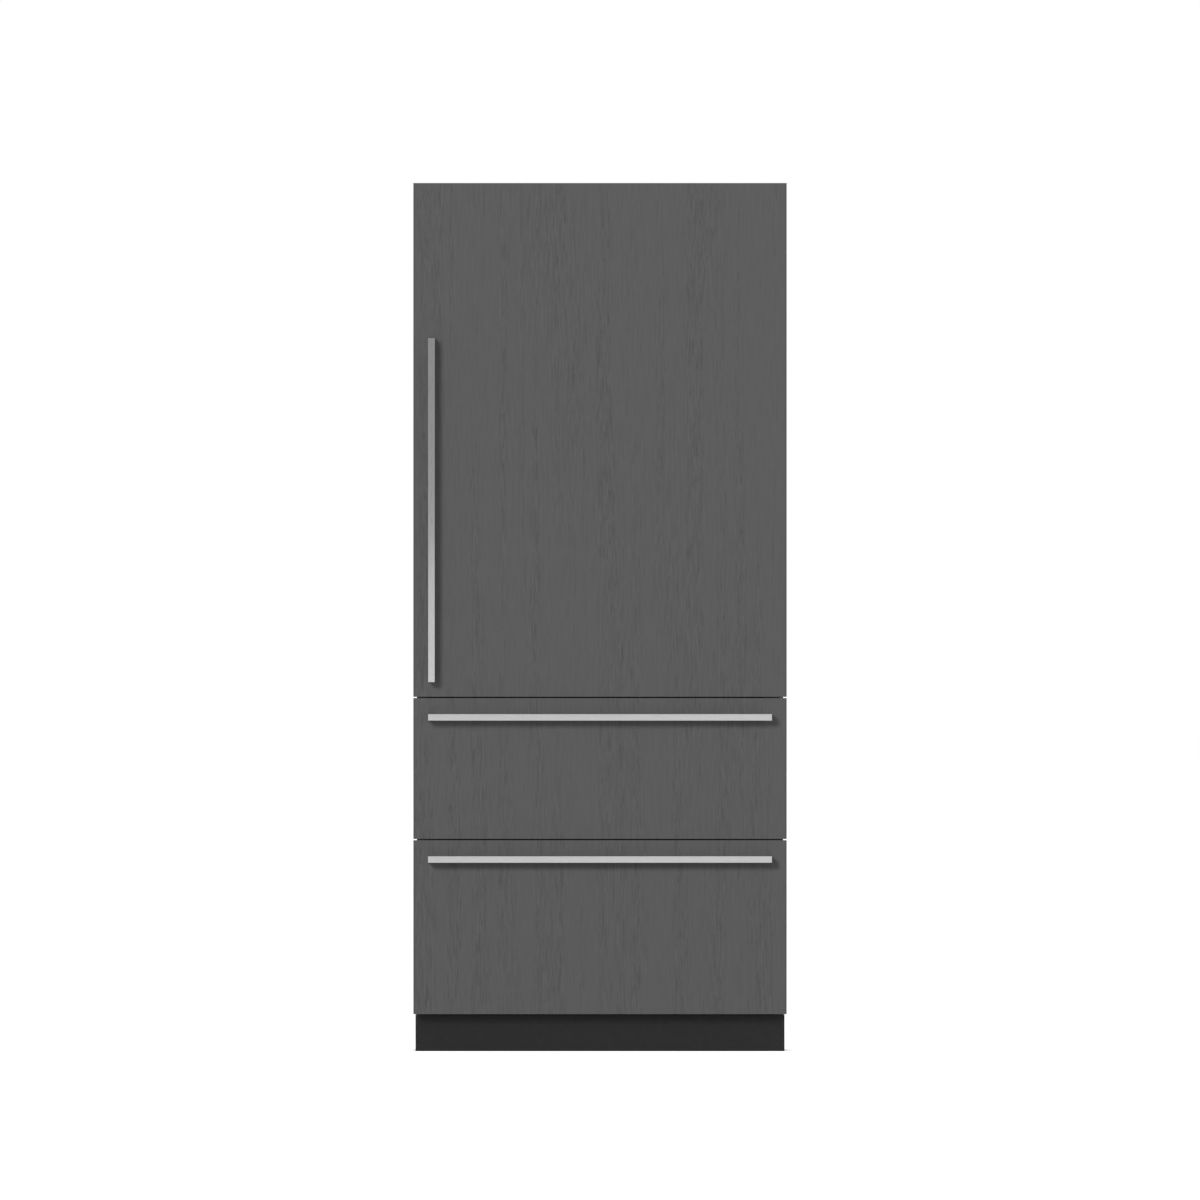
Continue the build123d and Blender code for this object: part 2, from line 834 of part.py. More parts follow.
def shelf_ring(z):
    half, front, back = shelf_rim()
    ring_block = block(both(half), (front, back), (z, z + shelf_ring_height))
    opening = block(both(half - shelf_ring_width), (front + shelf_ring_width, back - shelf_ring_width),
                    (z - 1, z + shelf_ring_height + 1))
    rebate = glass_seat(glass_fit, (z + shelf_ring_height - glass_thickness, z + shelf_ring_height + 1))
    return ring_block - opening - rebate


def glass_pane(z):
    return glass_seat(0, (z + shelf_ring_height - glass_thickness, z + shelf_ring_height))


def bracket_hook(x, z):
    # The hook goes through a slot and drops behind the strip
    behind = (track_face_y + track_sheet + soft_gap, track_face_y + track_depth - track_sheet)
    neck = block(both_at(x, shelf_bracket / 2), (track_face_y, behind[1]), both_at(z, slot_height / 4))
    drop = block(both_at(x, shelf_bracket / 2), behind, (z - slot_height * 0.7, z))
    return neck + drop


def build_shelf(index):
    # Two tapered cantilever brackets under one rim
    z_slot = slot_height_at(index)
    z = z_slot + slot_height
    half, front, back = shelf_rim()
    tip = front + shelf_ring_width / 2
    outline = [(track_face_y, z), (track_face_y, z - shelf_bracket_root),
               (back - shelf_ring_width * 2, z - shelf_bracket_root), (tip, z - shelf_bracket_tip), (tip, z)]
    plate = solid_across(outline, shelf_bracket / 2)
    frame = shelf_ring(z)
    for x in both(track_offset):
        frame = frame + Pos(x, 0, 0) * plate
        frame = frame + bracket_hook(x, z_slot)
    return frame


def crisper_levels():
    top = fridge_floor + crisper_zone
    runner = top - crisper_runner_drop
    return top, runner


def build_crisper_frame():
    # The glass-topped stand over the crispers, with a runner on each side of each crisper
    top, runner = crisper_levels()
    half, front, back = shelf_rim()
    frame = shelf_ring(top)
    side = (cavity_half - crisper_wall_gap - crisper_panel, cavity_half - crisper_wall_gap)
    middle = both(crisper_panel / 2)
    runner_z = (runner - crisper_runner_sheet, runner)
    y = (frame_front_y + crisper_front_setback + crisper_front_thickness + crisper_front_gap, back)
    wall = block(side, y, (fridge_floor, top)) + block((side[0] - crisper_runner, side[1]), y, runner_z)
    for copy in mirrored(wall):
        frame = frame + copy
    frame = frame + block(middle, y, (fridge_floor, top))
    frame = frame + block(both(crisper_panel / 2 + crisper_runner), y, runner_z)
    return frame


def build_crisper(side):
    # A drafted tub whose rim rides on the runners, with a front that has a finger grip
    top, runner = crisper_levels()
    inner_x = crisper_panel / 2 + crisper_side_gap
    outer_x = cavity_half - crisper_wall_gap - crisper_panel - crisper_side_gap
    x = sorted((side * inner_x, side * outer_x))
    reach = crisper_runner + crisper_side_gap
    body_x = (x[0] + reach, x[1] - reach)
    front = frame_front_y + crisper_front_setback
    y = (front, track_face_y - crisper_rear_gap)
    floor = fridge_floor + crisper_floor_gap
    rim_bottom = runner + soft_gap
    rim_top = rim_bottom + crisper_wall
    rim_front = front + crisper_front_thickness + crisper_front_gap + 1
    tub = block(body_x, y, (floor, rim_top)) + block(x, (rim_front, y[1]), (rim_bottom, rim_top))
    hollow = block((body_x[0] + crisper_wall, body_x[1] - crisper_wall),
                   (front + crisper_front_thickness, y[1] - crisper_wall), (floor + crisper_wall, rim_top + 1))
    tub = tub - chamfer(hollow.edges().filter_by(Axis.Z), bin_corner / 2)
    front_top = top - crisper_front_gap - 2
    face = block(x, (front, front + crisper_front_thickness), (floor, front_top))
    grip = block(both_at((x[0] + x[1]) / 2, crisper_grip_width / 2), (front - crisper_grip_depth, front),
                 (front_top - crisper_wall, front_top))
    return tub + face + grip


# Freezer drawers

def channel(web, lip, height):
    # A rolled channel's section, from its web to its lip in depth, open on the lip side
    low, high = sorted((web, lip))
    outer = Pos((low + high) / 2, 0) * Rectangle(high - low, height)
    inside = high - low - slide_sheet if lip > web else slide_sheet - (high - low)
    shift = web + (slide_sheet if lip > web else -slide_sheet) + inside / 2
    hollow = Pos(shift, 0) * Rectangle(abs(inside), height - 2 * slide_sheet)
    corners = [v for v in outer.vertices() if abs(v.X - web) < 0.01]
    return chamfer(corners, slide_sheet * 0.6) - hollow


def slide_section(member):
    # Depth from the wall by height from the middle, for one of the three nested members
    middle_height = slide_height - 2 * (slide_sheet + slide_ball)
    inner_height = middle_height - 2 * (slide_sheet + slide_ball)
    middle_web = slide_sheet + slide_web_gap
    if member == "outer":
        lip_x = slide_thickness - 1.5 * slide_sheet
        lip = Rectangle(slide_sheet, slide_lip)
        low, high = [Pos(lip_x, level) * lip for level in both((slide_height - slide_lip) / 2)]
        return channel(0, slide_thickness - slide_sheet, slide_height) + low + high
    if member == "middle":
        return channel(middle_web, slide_thickness - 2 * slide_sheet - slide_web_gap / 2, middle_height)
    return channel(slide_thickness, middle_web + slide_sheet + slide_web_gap, inner_height)


def slide_member(member, z, start, length):
    # One member for the right-hand wall, drawn towards the middle from the liner
    plane = Plane(origin=(cavity_half, start, z), x_dir=(-1, 0, 0), z_dir=(0, 1, 0))
    return extrude(plane * slide_section(member), amount=length)


def ball_cage(z, start, race):
    # The retainer strips that carry the balls between two members
    edge = slide_height / 2 - slide_sheet
    level = edge - slide_ball / 2 if race == "outer" else edge - slide_sheet - 1.5 * slide_ball
    inset = slide_sheet * 3 + slide_web_gap
    x = (cavity_half - slide_thickness + inset, cavity_half - inset)
    y = (start, start + slide_length / 2 - slide_setback)
    return [block(x, y, both_at(side * level + z, slide_ball / 2 - soft_gap)) for side in (-1, 1)]


def build_slide(z):
    # Outer member, middle member with its ball cages, and inner member
    outer = slide_member("outer", z, slide_front_y, slide_length)
    middle = slide_member("middle", z, slide_front_y, slide_length)
    inner = slide_member("inner", z, slide_front_y, slide_length)
    halfway = slide_front_y + (slide_length + slide_setback) / 2
    cages = ball_cage(z, halfway, "outer") + ball_cage(z, slide_front_y, "inner")
    return outer, [middle, *cages], inner


def build_drawer_core(bottom, top, opening):
    # Steel pan of a drawer front, and its foamed inner liner with a plug that enters the opening
    pan, filling, flange = core_blocks(bottom, top)
    plug = block(both(cavity_half - plug_side_gap), (core_back_y, plug_face_y),
                 (opening[0] + plug_side_gap, opening[1] - plug_side_gap))
    plug = chamfer(plug.faces().sort_by(Axis.Y)[-1].edges(), plug_corner)
    return pan - filling, filling + flange + plug


def build_drawer_frame(slide_z):
    # Side arms that carry the tub, a rear cross bar, and flanges screwed to the plug
    top = slide_z + arm_rise
    bottom = slide_z - slide_height / 2
    x = (arm_face_x - arm_sheet, arm_face_x)
    arm = block(x, (plug_face_y, slide_back_y), (bottom, top))
    ledge = block((x[0] - arm_ledge, x[1]), (plug_face_y, slide_back_y), (top - arm_sheet, top))
    flange = block((x[0] - arm_flange, x[1]), (plug_face_y, plug_face_y + arm_sheet), (bottom, top))
    bar = block(both(x[1]), (slide_back_y - cross_bar_depth, slide_back_y), (top - cross_bar_height, top))
    frame = bar
    for copy in mirrored(arm + ledge + flange):
        frame = frame + copy
    return frame


def tub_y():
    return (plug_face_y + arm_sheet + tub_front_gap, slide_back_y - cross_bar_depth - tub_rear_gap)


def build_tub(slide_z, points, hollow_points, corners, hollow_corners):
    # A moulded tub drawn from its side outline, with a rim that rests on the arms
    rim_z = slide_z + arm_rise
    y = tub_y()
    body = solid_across(points, tub_half, tub_corner, corners)
    hollow = solid_across(hollow_points, tub_half - tub_wall, tub_corner - tub_wall, hollow_corners)
    rim = block(both(tub_half + arm_ledge - tub_side_gap), y, (rim_z, rim_z + tub_rim))
    return body + rim - hollow


def build_upper_tub():
    y = tub_y()
    floor = upper_opening_bottom + upper_tub_floor_gap
    top = upper_slide_z + arm_rise + tub_rim + tub_lip
    corners = [(y[0], floor), (y[1], floor)]
    points = [*corners, (y[1], top), (y[0], top)]
    inside = [(y[0] + tub_wall, floor + tub_wall), (y[1] - tub_wall, floor + tub_wall)]
    hollow = [*inside, (y[1] - tub_wall, top + 1), (y[0] + tub_wall, top + 1)]
    return build_tub(upper_slide_z, points, hollow, corners, inside)


def lower_tub_outline(inset, top):
    # The side outline steps up to clear the hump over the machine compartment
    y0, y1 = tub_y()
    floor = freezer_floor + lower_tub_floor_gap
    step_y, step_z = hump_front_y - tub_step_gap, hump_top + tub_step_gap
    points = [(y0 + inset, floor + inset), (step_y - inset, floor + inset), (step_y - inset, step_z + inset),
              (y1 - inset, step_z + inset), (y1 - inset, top), (y0 + inset, top)]
    return points, [points[0], points[1], points[3]]


def tray_ledge_z():
    return lower_slide_z + arm_rise + tub_rim + tub_lip - tray_ledge_drop


def build_lower_tub():
    top = lower_slide_z + arm_rise + tub_rim + tub_lip
    points, corners = lower_tub_outline(0, top)
    hollow, hollow_corners = lower_tub_outline(tub_wall, top + 1)
    tub = build_tub(lower_slide_z, points, hollow, corners, hollow_corners)
    y0, y1 = tub_y()
    z = tray_ledge_z()
    half_wall = tub_wall / 2
    ledge = block((tub_half - tub_wall - tray_ledge, tub_half - half_wall), (y0 + half_wall, y1 - half_wall),
                  (z - tub_wall, z))
    for copy in mirrored(ledge):
        tub = tub + copy
    return tub


def build_tray():
    # The small sliding tray that rides on the ledges of the lower tub
    y0 = tub_y()[0] + tub_wall + tray_side_gap
    y = (y0, y0 + tray_depth)
    z = tray_ledge_z()
    half = tub_half - tub_wall - tray_side_gap
    body_half = half - tray_ledge
    bottom, top = z - tray_drop, z + tray_lip
    rim = block(both(half), y, (z + soft_gap, z + soft_gap + tray_wall))
    body = block(both(body_half), y, (bottom, top))
    body = chamfer(body.edges().filter_by(Axis.Z), tub_corner / 2)
    hollow = block(both(body_half - tray_wall), (y[0] + tray_wall, y[1] - tray_wall),
                   (bottom + tray_wall, top + 1))
    hollow = chamfer(hollow.edges().filter_by(Axis.Z), (tub_corner - tray_wall) / 2)
    return body + rim - hollow


# Refrigeration

def folded_fin(straight, bottom, gap, waves):
    # A corrugated strip between two tubes, drawn as one closed zigzag outline
    step = 2 * straight / waves
    middle, rise = bottom + gap / 2, (gap - coil_fin) / 2
    line = [Vector(k * step + x * step - straight, middle + z * rise) for k in range(waves)
            for x, z in ((0, -1), (0.3, -1), (0.5, 1), (0.8, 1))]
    sides = []
    for before, point, after in zip([None, *line], line, [*line[1:], None]):
        first = ((point - before) if before else (after - point)).normalized()
        second = ((after - point) if after else first).normalized()
        shift = (first + second).rotate(Axis.Z, 90) * (coil_fin / 2 / (1 + first.dot(second)))
        sides.append((point + shift, point - shift))
    outline = [(v.X, 0, v.Y) for v in [left for left, _ in sides] + [right for _, right in reversed(sides)]]
    return extrude(make_face(Polyline(*outline, close=True)), amount=coil_depth / 2, dir=(0, 1, 0), both=True)


def flat_coil(width, passes, pitch, waves):
    # Flat tubes between two upright headers, with a folded fin between each two tubes
    header = coil_depth / 2
    straight = width / 2 - 2 * header
    height = (passes - 1) * pitch
    pieces = [block(both(straight), both(header), both_at(i * pitch, coil_tube / 2)) for i in range(passes)]
    pieces += [prism((side * (straight + header), 0, -pitch / 2), (0, 0, 1), 2 * header, height + pitch, 8)
               for side in (-1, 1)]
    for i in range(passes - 1):
        bottom = i * pitch + coil_tube / 2
        pieces.append(folded_fin(straight - coil_fin_end_gap, bottom, pitch - coil_tube, waves))
    return pieces


def build_condenser():
    # Its tubes run from front to back, so that the fan draws air through it along X
    coil = flat_coil(condenser_width, condenser_passes, condenser_pitch, condenser_waves)
    turned = Pos(-condenser_offset, machine_middle_y(), condenser_floor()) * Rot(0, 0, 90)
    half = condenser_width / 2
    foot = block(both_at(-condenser_offset, coil_depth / 2), both_at(machine_middle_y(), half),
                 (machine_floor, condenser_floor() - condenser_pitch / 2))
    return [*[turned * piece for piece in coil], foot]


def machine_middle_y():
    return (machine_front_y + cabinet_back_y - skin) / 2


def build_rotor(fan, centre, axis):
    # A hub with flat, pitched blades; the tip's corners run just inside the mouth
    radius, hub_radius, hub_length, _, _ = fan
    rotor = prism((0, 0, -hub_length / 2), (0, 0, 1), 2 * hub_radius, hub_length, 15)
    tip = [Vector(radius, 0).rotate(Axis.Z, angle) for angle in (-fan_tip_angle, 0, fan_tip_angle)]
    root = hub_radius * 0.7
    outline = [(root, -root / 2), *[(v.X, v.Y) for v in tip], (root, root / 2)]
    blade = extrude(make_face(Polyline(*outline, close=True)), amount=fan_blade / 2, both=True)
    blade = Rot(fan_pitch, 0, 0) * blade
    for i in range(fan_blades):
        rotor = rotor + Rot(0, 0, i * 360 / fan_blades) * blade
    return Plane(origin=centre, z_dir=axis) * rotor


def fan_half(radius):
    # Half the side of the square plate round a fan
    return radius + fan_tip_gap + fan_plate_border


def build_fan_housing(fan, centre, axis):
    # A square plate with a round mouth, and a motor behind the hub on three struts
    radius, _, hub_length, motor_radius, motor_length = fan
    mouth = radius + fan_tip_gap
    half = fan_half(radius)
    housing = Box(2 * half, 2 * half, fan_plate) - Cylinder(mouth, fan_plate * 2)
    motor_top = -hub_length / 2 - soft_gap
    housing = housing + prism((0, 0, motor_top - motor_length), (0, 0, 1), 2 * motor_radius, motor_length, 12)
    level = (motor_top - fan_plate * 2, motor_top - fan_plate)
    for i in range(3):
        arm = block((motor_radius * 0.7, mouth + fan_plate), both(fan_plate), level)
        foot = block((mouth + fan_plate * 0.2, mouth + fan_plate), both(fan_plate), (level[0], -fan_plate / 2))
        housing = housing + Rot(0, 0, 90 + 120 * i) * (arm + foot)
    return Plane(origin=centre, z_dir=axis) * housing


def build_drain_pan():
    y = machine_middle_y()
    x = both_at(-drain_pan_offset, drain_pan_width / 2)
    z = (machine_floor, machine_floor + drain_pan_height)
    half = drain_pan_depth / 2
    wall = drain_pan_wall
    pan = block(x, (y - half, y + half), z)
    hollow = block((x[0] + wall, x[1] - wall), (y - half + wall, y + half - wall), (z[0] + wall, z[1] + 1))
    return pan - hollow


def compressor_floor():
    return machine_floor + grommet_height


def build_compressor():
    # A welded steel pot on a foot plate, with a terminal box, standing on four rubber grommets
    x, y, z = compressor_offset, machine_middle_y(), compressor_floor()
    half_length, half_width = compressor_foot_length / 2, compressor_foot_width / 2
    foot = block(both_at(x, half_length), both_at(y, half_width), (z, z + compressor_foot_sheet))
    pot = prism((x, y, z + compressor_foot_sheet), (0, 0, 1), 2 * compressor_radius, compressor_height, 24)
    pot = chamfer(pot.faces().sort_by(Axis.Z)[-1].edges(), compressor_dome)
    pot = chamfer(pot.faces().sort_by(Axis.Z)[0].edges(), compressor_dome / 2)
    box = block(both_at(x, terminal_box / 2), (y, y + compressor_radius + terminal_box / 3),
                both_at(z + terminal_box_rise, terminal_box / 2))
    inset = grommet_radius + compressor_foot_sheet
    grommets = [prism((x + i * (half_length - inset), y + j * (half_width - inset), machine_floor), (0, 0, 1),
                      2 * grommet_radius, grommet_height, 8) for i in (-1, 1) for j in (-1, 1)]
    return [foot + pot + box, *grommets]


def pipe(points):
    # A six-sided tube along straight runs, with each corner eased by a short slanting run
    route = [Vector(*point) for point in points]
    eased = [route[0]]
    for before, corner, after in zip(route, route[1:], route[2:]):
        eased += [corner + (end - corner).normalized() * pipe_bend for end in (before, after)]
    eased.append(route[-1])
    path = Polyline(*eased)
    outline = RegularPolygon(pipe_radius, 6, major_radius=False)
    return sweep(Plane(origin=path @ 0, z_dir=path % 0) * outline, path=path, transition=Transition.RIGHT)


def build_lines():
    # Discharge line to the condenser, liquid line through the drier, and suction line from above
    y = machine_middle_y()
    pot_top = compressor_floor() + compressor_foot_sheet + compressor_height
    coil_top = condenser_floor() + (condenser_passes - 1) * condenser_pitch + coil_tube / 2
    level = (coil_top + machine_top) / 2
    step = compressor_radius / 3
    discharge = pipe([(compressor_offset - step, y, pot_top), (compressor_offset - step, y, level),
                      (-condenser_offset, y, level), (-condenser_offset, y, coil_top)])
    suction = pipe([(compressor_offset + step, y, pot_top), (compressor_offset + step, y, machine_top)])
    face = -condenser_offset - coil_depth / 2
    out = face - 2 * pipe_bend
    side = y - condenser_width / 4
    liquid = pipe([(face, side, condenser_floor()), (out, side, condenser_floor()), (out, side, machine_top)])
    middle = (condenser_floor() + machine_top) / 2
    drier = prism((out, side, middle - drier_length / 2), (0, 0, 1), 2 * drier_radius, drier_length, 8)
    return discharge, suction, liquid + drier


def build_water_valve():
    # A bracket on the machine cover, a valve body with its coil, and the inlet tube through the cover
    x, z = -valve_offset, valve_level
    half = valve_size / 2
    face = cabinet_back_y - skin
    plate = block(both_at(x, valve_size), (face - base_sheet, face), both_at(z, half))
    body = block(both_at(x, half), (face - base_sheet - valve_size, face - base_sheet), both_at(z, half))
    coil = prism((x, face - base_sheet - half, z + half), (0, 0, 1), valve_coil, valve_size, 8)
    tube = rod((x, face - base_sheet, z), (0, 1, 0), valve_tube_radius, base_sheet + skin)
    return plate + body + coil + tube


def inlet_box(grow, y):
    x, z = both_at(inlet_offset, inlet_width / 2 + grow), both_at(inlet_level, inlet_height / 2 + grow)
    return block(x, y, z)


def build_power_inlet():
    # A recessed socket with three flat pins
    back = cabinet_back_y
    socket = inlet_box(0, (back - inlet_depth, back)) - inlet_box(-inlet_wall, (back - inlet_recess, back + 1))
    half = inlet_pin / 2
    for step in (-1, 0, 1):
        x = inlet_offset + step * inlet_pitch
        z = inlet_level + (half if step == 0 else -half)
        socket = socket + block(both_at(x, half / 2), (back - inlet_recess, back - inlet_pin), both_at(z, half))
    return socket


def build_machine_cover():
    # A vented sheet over the machine compartment, with holes for the inlet and the valve tube
    inner = cabinet_half - skin
    y = (cabinet_back_y - skin, cabinet_back_y)
    cover = block(both(inner), y, (ground_clearance, machine_top))
    first_x = -(cover_columns - 1) * cover_slot_pitch_x / 2
    middle_z = (machine_floor + machine_top) / 2
    first_z = middle_z - (cover_rows - 1) * cover_slot_pitch_z / 2
    for column in range(cover_columns):
        for row in range(cover_rows):
            x, z = first_x + column * cover_slot_pitch_x, first_z + row * cover_slot_pitch_z
            cover = cover - block(both_at(x, cover_slot_width / 2), (y[0] - 1, y[1] + 1),
                                  both_at(z, cover_slot_height / 2))
    hole = prism((-valve_offset, y[0] - 1, valve_level), (0, 1, 0), 2 * (valve_tube_radius + soft_gap),
                 skin + 2, 8)
    return cover - inlet_box(0, (y[0] - 1, y[1] + 1)) - hole


def condenser_floor():
    return machine_floor + condenser_rise


def evaporator_floor(cavity_floor):
    return cavity_floor + evaporator_rise


def small_fan_height(cavity_floor):
    coil_top = evaporator_floor(cavity_floor) + (evaporator_passes - 1) * evaporator_pitch
    return coil_top + small_fan_gap_above_coil + small_fan_radius + fan_tip_gap


def small_fan_y():
    return cavity_back_y - small_fan_motor_length - soft_gap - small_fan_hub_length / 2


def evaporator_floors():
    return fridge_floor, hump_top


def build_evaporator(cavity_floor):
    # The coil hangs on two end plates that stand on the liner's rear wall
    y = cavity_back_y - evaporator_stand - coil_depth / 2
    z = evaporator_floor(cavity_floor)
    coil = flat_coil(evaporator_width, evaporator_passes, evaporator_pitch, evaporator_waves)
    pieces = [Pos(0, y, z) * piece for piece in coil]
    height = (evaporator_passes - 1) * evaporator_pitch
    edge = evaporator_width / 2
    plate = block((edge, edge + base_sheet), (y - coil_depth / 2, cavity_back_y),
                  (z - evaporator_pitch / 2, z + height + evaporator_pitch / 2))
    return [*pieces, *mirrored(plate)]


def build_cabinet():
    fridge_liner, freezer_liner = build_liners()
    save("fridge_liner", fridge_liner)
    save("freezer_liner", freezer_liner)
    save("insulation_foam", build_foam())
    save("back_panel", build_back_panel())
    save("outer_panels", *build_outer_panels())
    save("front_frame", *build_front_frame())
    save("hinge_brackets", *build_hinges())
    save("anti_tip_brackets", *mirrored(build_anchor()))


def build_base():
    save("base_pan", build_base_pan())
    save("levelling_legs", *[build_leg(x, y) for x, y in leg_places()])
    save("kickplate", build_kickplate())


def build_anchor():
    # A folded bracket on the cabinet's top: a foot, a riser and a raised shelf with a screw hole
    x = both_at(anchor_offset, anchor_width / 2)
    y = frame_front_y + anchor_setback
    z = cabinet_top
    foot = block(x, (y, y + anchor_foot), (z, z + anchor_sheet))
    riser = block(x, (y + anchor_foot - anchor_sheet, y + anchor_foot), (z, z + anchor_lift + anchor_sheet))
    shelf = block(x, (y + anchor_foot - anchor_sheet, y + anchor_foot + anchor_shelf),
                  (z + anchor_lift, z + anchor_lift + anchor_sheet))
    bracket = foot + riser + shelf
    hole = rod((anchor_offset, y + anchor_foot + anchor_shelf / 2, z - 1), (0, 0, 1), anchor_hole_radius,
               anchor_lift + anchor_sheet + 2)
    return bracket - hole


def build_door():
    shell, inner = build_door_shell()
    save("door_panel", build_panel(door_panel_bottom, door_panel_top))
    save("door_shell", shell)
    save("door_liner", inner)
    save("door_gasket", build_gasket((fridge_floor, fridge_ceiling)))
    handle_z = door_panel_bottom + door_handle_rise + handle_length / 2
    save("door_handle", *build_handle(True, (-panel_half + door_handle_offset, handle_z)))
    save("hinge_bearings", *build_bearings())
    bins = [build_bin(rise, height) for rise, height in zip(bin_rises, bin_heights)]
    save("door_bins", *bins, build_dairy_box())
    save("dairy_lid", build_dairy_lid())


def build_control_panel():
    z = (fridge_ceiling - control_height, fridge_ceiling)
    panel = block(both(control_width / 2), (frame_back_y, frame_back_y + control_depth), z)
    return chamfer(panel.faces().sort_by(Axis.Z)[0].edges().sort_by(Axis.Y)[:1], control_chamfer)


def build_light_bars():
    y = frame_back_y + control_depth + light_depth
    bars = []
    for ceiling in (fridge_ceiling, freezer_ceiling):
        bar = block(both(cavity_half - light_inset), (y, y + light_depth), (ceiling - light_height, ceiling))
        bars.append(chamfer(bar.faces().sort_by(Axis.Z)[0].edges(), light_chamfer))
    return bars


def build_fresh_food():
    fridge_banks = [fridge_floor + rise for rise in fridge_vents]
    freezer_banks = [hump_top + rise for rise in freezer_vents]
    save("fridge_duct", build_duct(fridge_floor, fridge_ceiling, fridge_banks))
    save("freezer_duct", build_duct(hump_top, freezer_ceiling, freezer_banks))
    save("shelf_tracks", *mirrored(build_track(track_offset)))
    save("shelf_frames", *[build_shelf(index) for index in shelf_slots])
    tops = [slot_height_at(index) + slot_height for index in shelf_slots]
    save("shelf_glass", *[glass_pane(z) for z in (crisper_levels()[0], *tops)])
    save("crisper_frame", build_crisper_frame())
    save("crisper_left", build_crisper(-1))
    save("crisper_right", build_crisper(1))
    save("control_panel", build_control_panel())
    save("light_bars", *build_light_bars())
    save("evaporators", *[piece for floor in evaporator_floors() for piece in build_evaporator(floor)])


def build_freezer():
    outers = []
    drawers = (
        ("upper", upper_slide_z, upper_panel_bottom, upper_panel_top,
         (upper_opening_bottom, freezer_ceiling), build_upper_tub),
        ("lower", lower_slide_z, lower_panel_bottom, lower_panel_top,
         (freezer_floor, lower_opening_top), build_lower_tub),
    )
    for name, slide_z, bottom, top, opening, tub in drawers:
        outer, middle, inner = build_slide(slide_z)
        outers += mirrored(outer)
        save(f"{name}_slide_middle", *[copy for piece in middle for copy in mirrored(piece)])
        save(f"{name}_drawer_frame", build_drawer_frame(slide_z), *mirrored(inner))
        save(f"{name}_drawer_panel", build_panel(bottom, top))
        core_bottom = max(bottom + core_inset, body_bottom)
        save(f"{name}_drawer_core", *build_drawer_core(core_bottom, top - core_inset, opening))
        save(f"{name}_drawer_gasket", build_gasket(opening))
        save(f"{name}_drawer_handle", *build_handle(False, (0, top - drawer_handle_offset)))
        save(f"{name}_drawer_tub", tub())
    save("slide_outer_members", *outers)
    save("drawer_tray", build_tray())


def build_machine():
    save("machine_cover", build_machine_cover())
    save("compressor", *build_compressor())
    save("condenser", *build_condenser())
    save("drain_pan", build_drain_pan())
    save("refrigerant_lines", *build_lines())
    save("water_valve", build_water_valve())
    save("power_inlet", build_power_inlet())


def build_fans():
    # Each fan is its radius, its hub's radius and length, and its motor's radius and length
    large = (fan_radius, fan_hub_radius, fan_hub_length, fan_motor_radius, fan_motor_length)
    small = (small_fan_radius, small_fan_hub_radius, small_fan_hub_length, small_fan_motor_radius,
             small_fan_motor_length)
    fridge_z, freezer_z = [small_fan_height(floor) for floor in evaporator_floors()]
    large_z = machine_floor + fan_half(fan_radius)
    fans = (
        ("condenser_fan", large, (fan_offset, machine_middle_y(), large_z), (-1, 0, 0)),
        ("fridge_fan", small, (0, small_fan_y(), fridge_z), (0, -1, 0)),
        ("freezer_fan", small, (0, small_fan_y(), freezer_z), (0, -1, 0)),
    )
    for name, fan, centre, axis in fans:
        save(name, build_rotor(fan, centre, axis))
    save("fan_housings", *[build_fan_housing(fan, centre, axis) for _, fan, centre, axis in fans])


def ice_mould_x():
    left = -cavity_half + ice_maker_side_gap
    return left, left + ice_mould_width


def ice_axis():
    # The ejector's line: middle of the mould across, just above its top
    left, right = ice_mould_x()
    mould_top = freezer_ceiling - ice_mould_drop + ice_mould_height
    return (left + right) / 2, mould_top + ice_shaft_radius + ice_shaft_lift


def build_ice_maker():
    # Mould with half-round cups, gearbox in front, bearing plate behind, and a bracket on the side wall
    left, right = ice_mould_x()
    axis_x, axis_z = ice_axis()
    bottom = freezer_ceiling - ice_mould_drop
    top = bottom + ice_mould_height
    y = (ice_front, ice_front + ice_mould_length)
    trough = prism((axis_x, y[0] + ice_end, axis_z), (0, 1, 0), 2 * ice_cup_radius,
                   ice_mould_length - 2 * ice_end, 12)
    mould = block((left, right), y, (bottom, top)) - trough
    pitch = ice_pitch()
    reach = ice_cup_radius * 0.8
    for i in range(1, ice_cups):
        wall = y[0] + ice_end + i * pitch - ice_divider
        mould = mould + block(both_at(axis_x, reach), (wall, wall + ice_divider),
                              (axis_z - ice_cup_radius, top - ice_shaft_lift))
    mould = mould + block(both_at(axis_x, ice_end * 2), (y[1] - ice_end, y[1]), (top, axis_z + ice_end * 2))
    bore = ice_shaft_radius + shaft_gap
    mould = mould - rod((axis_x, y[1] - ice_end - 1, axis_z), (0, 1, 0), bore, ice_end + 2)
    gearbox = block((left, right), (y[0] - ice_gearbox_length, y[0]),
                    (bottom - ice_gearbox_drop, top + ice_gearbox_top))
    gearbox = chamfer(gearbox.faces().sort_by(Axis.Y)[0].edges(), ice_gearbox_drop)
    gearbox = gearbox - rod((axis_x, y[0] + 1, axis_z), (0, -1, 0), bore, ice_bearing_depth + 1)
    ear_z = feeler_axis()[1]
    ear_x = (right, right + feeler_offset + 2 * feeler_pin_radius)
    ear = block(ear_x, (y[0] - ice_end, y[0]), both_at(ear_z, 2 * feeler_pin_radius))
    pin = rod((feeler_axis()[0], y[0], ear_z), (0, 1, 0), feeler_pin_radius, ice_bearing_depth)
    bracket = block((-cavity_half, -cavity_half + ice_bracket_sheet), y, (bottom, top + ice_gearbox_top))
    strap_x = (-cavity_half + ice_bracket_sheet, left)
    front_strap, rear_strap = [block(strap_x, (at, at + ice_end * 2), (bottom, top))
                               for at in (y[0] + ice_end, y[1] - ice_end * 3)]
    return [mould + front_strap + rear_strap + bracket, gearbox + ear + pin]


def ice_pitch():
    return (ice_mould_length - 2 * ice_end + ice_divider) / ice_cups


